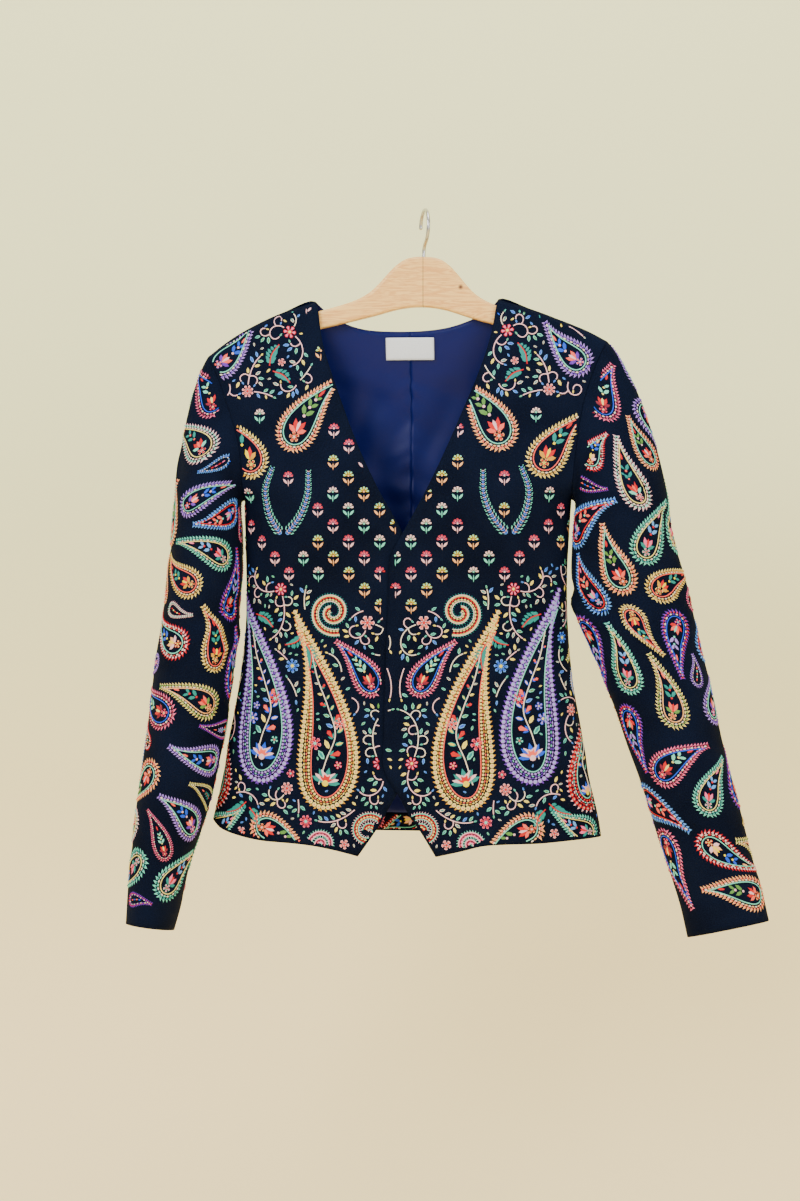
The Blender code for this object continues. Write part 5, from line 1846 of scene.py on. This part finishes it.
def puckered(skins):
    """The lining drawn up into small puckers along the centre seam, with soft waves beside them."""
    outer, inner = skins
    across = outer[..., 0] - GARMENT_CENTRE_X - BACK_SEAM_ACROSS
    height = outer[..., 2]
    below_label = np.clip((LABEL_TOP - LABEL_DEPTH - 4 - height) / 30, 0, 1)
    near = np.exp(-np.abs(across) / 9)
    drag = height + 0.55 * np.abs(across) + 2.5 * np.sign(across)
    pull = np.sin(drag / 3.3 + 1.3 * np.sin(drag / 13.0)) * (0.6 + 0.4 * np.sin(drag / 17.0 + across / 9.0))
    waves = np.sin(across / 9 + height / 17 + 1.6 * np.sin(height / 24)) * np.sin(height / 12 - across / 21)
    moved = np.zeros(outer.shape)
    moved[..., 1] = -below_label * (0.9 * near * (pull + 1) + 1.1 * (waves + 1))
    return outer + moved, inner + moved


# How far apart the points on the hanger's edges and along the hook are, and how thin the hook's tip is
HANGER_STEP, HOOK_STEP, HOOK_TIP_SHARE = 2.5, 1.2, 0.55


def on_hanger(points):
    """Points in the hanger's own upright frame, turned with it and in metres."""
    turn = np.array([
        [math.cos(HANGER_ROLL), 0, math.sin(HANGER_ROLL)],
        [0, 1, 0],
        [-math.sin(HANGER_ROLL), 0, math.cos(HANGER_ROLL)],
    ])
    return np.asarray(points, float) @ turn.T * MM


def make_hanger_board():
    """The board, with smooth curves through the outline of its solid and rounded edges."""
    rows = np.array(HANGER_OUTLINE, float)
    edges = (np.stack([rows[:, 0], 0 * rows[:, 0], rows[:, k]], axis=1)[:, None] for k in (1, 2))
    top, bottom = (filled_in(edge, HANGER_STEP, False)[:, 0] for edge in edges)
    half = [(x, z) for x, _, z in top] + [(x, z) for x, _, z in bottom[::-1]]
    outline = half + [(-x, z) for x, _, z in bottom[1:]] + [(-x, z) for x, _, z in top[1:][::-1]]
    mesh = bmesh.new()
    depth = HANGER_THICKNESS / 2
    ring = [mesh.verts.new(on_hanger((x, -depth, z))) for x, z in outline]
    face = mesh.faces.new(ring)
    extruded = bmesh.ops.extrude_face_region(mesh, geom=[face])
    moved = [item for item in extruded["geom"] if isinstance(item, bmesh.types.BMVert)]
    bmesh.ops.translate(mesh, verts=moved, vec=(0, HANGER_THICKNESS * MM, 0))
    bmesh.ops.recalc_face_normals(mesh, faces=mesh.faces)
    data = bpy.data.meshes.new("hanger_board")
    mesh.to_mesh(data)
    mesh.free()
    board = add_object("hanger_board", data)
    bevel = board.modifiers.new("rounded edges", "BEVEL")
    bevel.width = HANGER_BEVEL * MM
    bevel.segments = 4
    bevel.limit_method = "ANGLE"
    bevel.angle_limit = math.radians(60)
    data.shade_smooth()
    data.set_sharp_from_angle(angle=math.radians(40))
    data.materials.append(pine_material())
    return board


def make_hook_wire():
    curve = bpy.data.curves.new("hook_wire", "CURVE")
    curve.dimensions = "3D"
    curve.bevel_depth = HOOK_WIRE / 2 * MM
    curve.bevel_resolution = 6
    curve.use_fill_caps = True
    route = np.array([[tuple(point)] for point in hook_route()])
    points = on_hanger(filled_in(route, HOOK_STEP, False)[:, 0])
    spline = curve.splines.new("POLY")
    spline.points.add(len(points) - 1)
    for knot, point in zip(spline.points, points):
        knot.co = (*point, 1.0)
    spline.points[-1].radius = HOOK_TIP_SHARE
    curve.materials.append(steel_material())
    return add_object("hook_wire", curve)


def clear_under_lap(lattice):
    """Takes the stitches off the part of the left front that the right one covers."""
    across = lattice.points[..., 0] - GARMENT_CENTRE_X
    heights = lattice.top - LATTICE_STEP * np.arange(across.shape[0])
    edges = np.array([centre_edge("right", height) for height in heights])
    lattice.points[across > edges[:, None] - LAP_CLEARANCE] = np.nan


def puckered_label():
    outer, inner = refined(label_skins(), LABEL_STEP)
    along = (outer[..., 0] - GARMENT_CENTRE_X - BACK_SEAM_ACROSS) / (LABEL_WIDTH / 2)
    down = (LABEL_TOP - outer[..., 2]) / LABEL_DEPTH
    moved = np.zeros(outer.shape)
    moved[..., 1] = -1.6 - 0.5 * np.cos(9 * along) * (1 - down) - 0.4 * np.cos(3 * along)
    return outer + moved, inner + moved


# What a user may change

COLOUR = {"subtype": "COLOR", "size": 3, "min": 0, "max": 1}


class JacketClothSettings(bpy.types.PropertyGroup):
    """The jacket's cloths and how finely they are made."""

    cloth_colour: bpy.props.FloatVectorProperty(
        name="Cloth", description="Colour of the jacket's cloth", default=(0.0026, 0.0052, 0.0165), **COLOUR
    )
    lining_colour: bpy.props.FloatVectorProperty(
        name="Lining", description="Colour of the satin lining", default=(0.0018, 0.0062, 0.098), **COLOUR
    )
    label_colour: bpy.props.FloatVectorProperty(
        name="Label", description="Colour of the blank label", default=(0.8, 0.86, 0.97), **COLOUR
    )
    mesh_step: bpy.props.FloatProperty(
        name="Mesh step", description="Distance between the points of the cloth", unit="LENGTH",
        min=0.003, max=0.02, default=CLOTH_STEP * MM,
    )


class JacketThreadSettings(bpy.types.PropertyGroup):
    """One colour for each thread."""


for floss in FLOSSES:
    JacketThreadSettings.__annotations__[floss.name] = bpy.props.FloatVectorProperty(
        name=floss.name.replace("_", " ").capitalize(), description="Colour of this embroidery thread",
        default=screen_colour(floss.red, floss.green, floss.blue), **COLOUR,
    )


class JacketHangerSettings(bpy.types.PropertyGroup):
    """The hanger's wood and the hook's steel."""

    pale_colour: bpy.props.FloatVectorProperty(
        name="Pale wood", description="Colour of the wood between its grain", default=(1.0, 0.61, 0.19),
        **COLOUR,
    )
    grain_colour: bpy.props.FloatVectorProperty(
        name="Grain", description="Colour of the wood's grain", default=(0.8, 0.38, 0.1), **COLOUR
    )
    steel_colour: bpy.props.FloatVectorProperty(
        name="Steel", description="Colour of the hook's wire", default=(0.52, 0.51, 0.5), **COLOUR
    )


class JacketStudioSettings(bpy.types.PropertyGroup):
    """The backdrop, the lights and the camera."""

    backdrop_colour: bpy.props.FloatVectorProperty(
        name="Backdrop", description="Colour of the backdrop's upper part", default=(0.84, 0.84, 0.45),
        **COLOUR,
    )
    floor_colour: bpy.props.FloatVectorProperty(
        name="Floor", description="Colour of the floor and of the backdrop's foot", default=(0.97, 0.78, 0.4),
        **COLOUR,
    )
    key_power: bpy.props.FloatProperty(
        name="Key light", description="Power of the large light at the front left", unit="POWER",
        min=0, default=78.0,
    )
    fill_power: bpy.props.FloatProperty(
        name="Fill light", description="Power of the light at the front right", unit="POWER",
        min=0, default=42.0,
    )
    distance: bpy.props.FloatProperty(
        name="Camera distance", description="From the camera to the jacket", unit="LENGTH",
        min=0.5, default=2.95,
    )
    azimuth: bpy.props.FloatProperty(
        name="Camera azimuth", description="How far the camera stands to the right of straight ahead",
        subtype="ANGLE", default=math.radians(4.5),
    )


# The studio

STAGE_FLOOR, STAGE_WALL, STAGE_TOP = -1.25, 0.55, 3.0
STAGE_BEND, STAGE_HALF_WIDTH = 0.6, 4.0
BACKDROP_RISE, BACKDROP_GLOW = (-1.0, -0.1), 0.36
WORLD_COLOUR, WORLD_STRENGTH = (1.0, 0.98, 0.94, 1.0), 0.66
CAMERA_TARGET = Vector((-0.026, 0.0, -0.404))
CAMERA_LENS, CAMERA_SENSOR = 85.0, 36.0

Light = namedtuple("Light", "name place size setting share")

# "setting" names the power that a light follows, "share" how much of it
LIGHTS = table(
    Light, ("key", (-1.7, -2.6, 1.0), 1.6, "key_power", 1.0),
    ("fill", (2.0, -2.4, 0.1), 1.8, "fill_power", 1.0), ("top", (0.1, -0.6, 1.6), 1.4, "fill_power", 0.7),
)


def backdrop_paint(colour, floor_colour):
    """Paint that shades from the floor's colour to the wall's, and can't be seen from its back."""
    material, tree, shader = new_material("backdrop_paint", Roughness=0.9, Emission_Strength=BACKDROP_GLOW)
    place = add_node(tree, "ShaderNodeTexCoord").outputs["Object"]
    rise = mapped(tree, separated(tree, place)[2], BACKDROP_RISE, interpolation_type="SMOOTHSTEP")
    shade = shaded_between(tree, rise, (*floor_colour, 1.0), (*colour, 1.0))
    for socket in ("Base Color", "Emission Color"):
        tree.links.new(shade, shader.inputs[socket])
    seen = add_node(tree, "ShaderNodeNewGeometry").outputs["Backfacing"]
    clear = add_node(tree, "ShaderNodeBsdfTransparent").outputs[0]
    one_sided = add_node(tree, "ShaderNodeMixShader", inputs={0: seen, 1: shader.outputs[0], 2: clear})
    tree.links.new(one_sided.outputs[0], tree.nodes["Material Output"].inputs["Surface"])
    emboss(tree, shader, noise(tree, place, scale=90.0, detail=4.0), 0.05, 0.001)
    return material


def make_backdrop(colour, floor_colour):
    """A floor that sweeps up into a wall."""
    rows = [(y, STAGE_FLOOR) for y in (-4.0, -2.0, 0.0)]
    for angle in (math.radians(degrees) for degrees in range(0, 91, 6)):
        back, up = STAGE_BEND * math.sin(angle), STAGE_BEND * (1 - math.cos(angle))
        rows.append((STAGE_WALL - STAGE_BEND + back, STAGE_FLOOR + up))
    rows.append((STAGE_WALL, STAGE_TOP))
    verts = [(x, y, z) for y, z in rows for x in (-STAGE_HALF_WIDTH, STAGE_HALF_WIDTH)]
    data = bpy.data.meshes.new("backdrop")
    data.from_pydata(verts, [], [(k, k + 1, k + 3, k + 2) for k in range(0, len(verts) - 2, 2)])
    data.shade_smooth()
    data.materials.append(backdrop_paint(colour, floor_colour))
    add_object("backdrop", data)


def add_light(light, studio):
    data = bpy.data.lights.new(light.name, "AREA")
    data.shape = "DISK"
    data.size = light.size
    data.energy = getattr(studio, light.setting) * light.share
    lamp = add_object(light.name, data)
    lamp.location = light.place
    lamp.rotation_euler = (CAMERA_TARGET - Vector(light.place)).to_track_quat("-Z", "Y").to_euler()


# Operators

Sheet = namedtuple("Sheet", "flat area")

# The cut of each cloth piece as it shows, in metres and square metres
SHEETS = {
    "front_left": Sheet((0.25, 0.58), 0.1),
    "front_right": Sheet((0.26, 0.58), 0.105),
    "back": Sheet((0.47, 0.56), 0.225),
    "back_hem_facing": Sheet((0.44, 0.034), 0.0095),
    "sleeve_top": Sheet((0.2, 0.63), 0.1),
    "sleeve_under": Sheet((0.12, 0.6), 0.055),
    "lining_left": Sheet((0.23, 0.53), 0.1),
    "lining_right": Sheet((0.23, 0.53), 0.1),
    "label": Sheet((0.05, 0.0225), 0.0011),
}


class JacketOperator:
    bl_options = {"REGISTER", "UNDO"}


def declare(piece, node, slot, flat=None, area=None, with_pieces=()):
    """Hangs a new piece from the root, so that it moves with it, and hides the part it stands for. The size a
    cloth piece was cut to is not used.
    """
    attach(piece, "root")
    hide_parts(node)


def embroidered(name, work, lattice):
    stitches = lay_on(f"{name}_embroidery", work, lattice)
    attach(stitches, "root")
    return stitches


class JACKET_OT_fronts(JacketOperator, bpy.types.Operator):
    """Makes the two embroidered fronts."""

    bl_idname = "jacket.fronts"
    bl_label = "Fronts"

    def execute(self, context):
        panels = {side: front_skins(side) for side in ("left", "right")}
        lattices = {side: flattened(skins) for side, skins in panels.items()}
        work = embroider_body(lattices["right"], FRONT_MIRROR_LINE, random.Random(FRONT_SEED))
        clear_under_lap(lattices["left"])
        for side, skins in panels.items():
            cloth = cloth_wall(f"front_{side}_cloth", skins, navy_cloth(), satin_lining())
            stitches = embroidered(f"front_{side}", work, lattices[side])
            declare(cloth, f"front_{side}", "navy_cloth", *SHEETS["front_" + side], with_pieces=[stitches])
        return {"FINISHED"}


class JACKET_OT_back(JacketOperator, bpy.types.Operator):
    """Makes the embroidered back and the turned-up band inside its hem."""

    bl_idname = "jacket.back"
    bl_label = "Back"

    def execute(self, context):
        skins = back_skins()
        cloth = cloth_wall("back_cloth", skins, navy_cloth(), satin_lining())
        lattice = flattened(skins)
        stitches = embroidered("back", embroider_body(lattice, 0.0, random.Random(BACK_SEED)), lattice)
        declare(cloth, "back", "navy_cloth", *SHEETS["back"], with_pieces=[stitches])
        band = creased(refined(hem_facing_skins()))
        facing = cloth_wall("back_hem_facing_cloth", band, navy_cloth(), navy_cloth())
        stitches = embroidered("back_hem_facing", embroider_facing(), flattened(band[::-1]))
        declare(facing, "back_hem_facing", "navy_cloth", *SHEETS["back_hem_facing"], with_pieces=[stitches])
        return {"FINISHED"}


class JACKET_OT_sleeves(JacketOperator, bpy.types.Operator):
    """Makes the two embroidered sleeves."""

    bl_idname = "jacket.sleeves"
    bl_label = "Sleeves"

    def execute(self, context):
        parts = [(side, part) for side in ("left", "right") for part in ("top", "under")]
        for k, (side, part) in enumerate(parts):
            skins, middle = sleeve_part_skins(side, part)
            name = f"sleeve_{side}_{part}"
            cloth = cloth_wall(f"{name}_cloth", skins, navy_cloth(), satin_lining())
            lattice = flattened(skins, middle)
            work = embroider_sleeve(lattice, random.Random(SLEEVE_SEED + k))
            stitches = embroidered(name, work, lattice)
            declare(cloth, name, "navy_cloth", *SHEETS[f"sleeve_{part}"], with_pieces=[stitches])
        return {"FINISHED"}


class JACKET_OT_linings(JacketOperator, bpy.types.Operator):
    """Makes the two halves of the satin back lining and the blank label."""

    bl_idname = "jacket.linings"
    bl_label = "Lining and Label"

    def execute(self, context):
        for side in ("left", "right"):
            skins = puckered(creased(refined(lining_skins(side), LINING_STEP)))
            piece = cloth_wall(f"lining_{side}_satin", skins, satin_lining(), satin_lining())
            declare(piece, f"lining_{side}", "satin_lining", *SHEETS["lining_" + side])
        piece = cloth_wall("label_satin_piece", puckered_label(), label_satin(), label_satin())
        declare(piece, "label", "label_satin", *SHEETS["label"])
        return {"FINISHED"}


class JACKET_OT_hanger(JacketOperator, bpy.types.Operator):
    """Makes the hanger's board and its hook."""

    bl_idname = "jacket.hanger"
    bl_label = "Hanger and Hook"

    def execute(self, context):
        declare(make_hanger_board(), "hanger", "pine")
        declare(make_hook_wire(), "hook", "hook_steel")
        return {"FINISHED"}


class JACKET_OT_stage(JacketOperator, bpy.types.Operator):
    """Makes the pale floor and backdrop, the soft lights and the camera."""

    bl_idname = "jacket.stage"
    bl_label = "Studio"

    def execute(self, context):
        studio = context.scene.jacket_studio
        make_backdrop(studio.backdrop_colour, studio.floor_colour)
        for light in LIGHTS:
            add_light(light, studio)
        world = bpy.data.worlds.new("studio")
        world.use_nodes = True
        background = world.node_tree.nodes["Background"].inputs
        background["Color"].default_value = WORLD_COLOUR
        background["Strength"].default_value = WORLD_STRENGTH
        context.scene.world = world
        data = bpy.data.cameras.new("camera")
        data.sensor_fit = "VERTICAL"
        data.sensor_height = CAMERA_SENSOR
        data.lens = CAMERA_LENS
        camera = add_object("camera", data)
        away = Vector((math.sin(studio.azimuth), -math.cos(studio.azimuth), 0))
        camera.location = CAMERA_TARGET + away * studio.distance
        camera.rotation_euler = (-away).to_track_quat("-Z", "Y").to_euler()
        context.scene.camera = camera
        return {"FINISHED"}


class JACKET_PT_panel(bpy.types.Panel):
    """Lists the jacket's pieces and settings."""

    bl_label = "Embroidered Jacket"
    bl_idname = "JACKET_PT_panel"
    bl_space_type = "VIEW_3D"
    bl_region_type = "UI"
    bl_category = "Jacket"

    def draw(self, context):
        layout = self.layout
        for operator in OPERATORS:
            layout.operator(operator.bl_idname)
        for settings in ("jacket_cloth", "jacket_threads", "jacket_hanger", "jacket_studio"):
            group = getattr(context.scene, settings)
            box = layout.box()
            for name in group.__annotations__:
                box.prop(group, name)


OPERATORS = (
    JACKET_OT_stage,
    JACKET_OT_hanger,
    JACKET_OT_back,
    JACKET_OT_linings,
    JACKET_OT_fronts,
    JACKET_OT_sleeves,
)
SETTINGS = {
    "jacket_cloth": JacketClothSettings,
    "jacket_threads": JacketThreadSettings,
    "jacket_hanger": JacketHangerSettings,
    "jacket_studio": JacketStudioSettings,
}


def register():
    for settings in SETTINGS.values():
        bpy.utils.register_class(settings)
    for name, settings in SETTINGS.items():
        setattr(bpy.types.Scene, name, bpy.props.PointerProperty(type=settings))
    for operator in OPERATORS:
        bpy.utils.register_class(operator)
    bpy.utils.register_class(JACKET_PT_panel)


def unregister():
    bpy.utils.unregister_class(JACKET_PT_panel)
    for operator in reversed(OPERATORS):
        bpy.utils.unregister_class(operator)
    for name in SETTINGS:
        delattr(bpy.types.Scene, name)
    for settings in SETTINGS.values():
        bpy.utils.unregister_class(settings)


def main():
    register()
    bpy.ops.jacket.stage()
    bpy.ops.jacket.hanger()
    bpy.ops.jacket.back()
    bpy.ops.jacket.linings()
    bpy.ops.jacket.fronts()
    bpy.ops.jacket.sleeves()


if __name__ == "__main__":
    main()
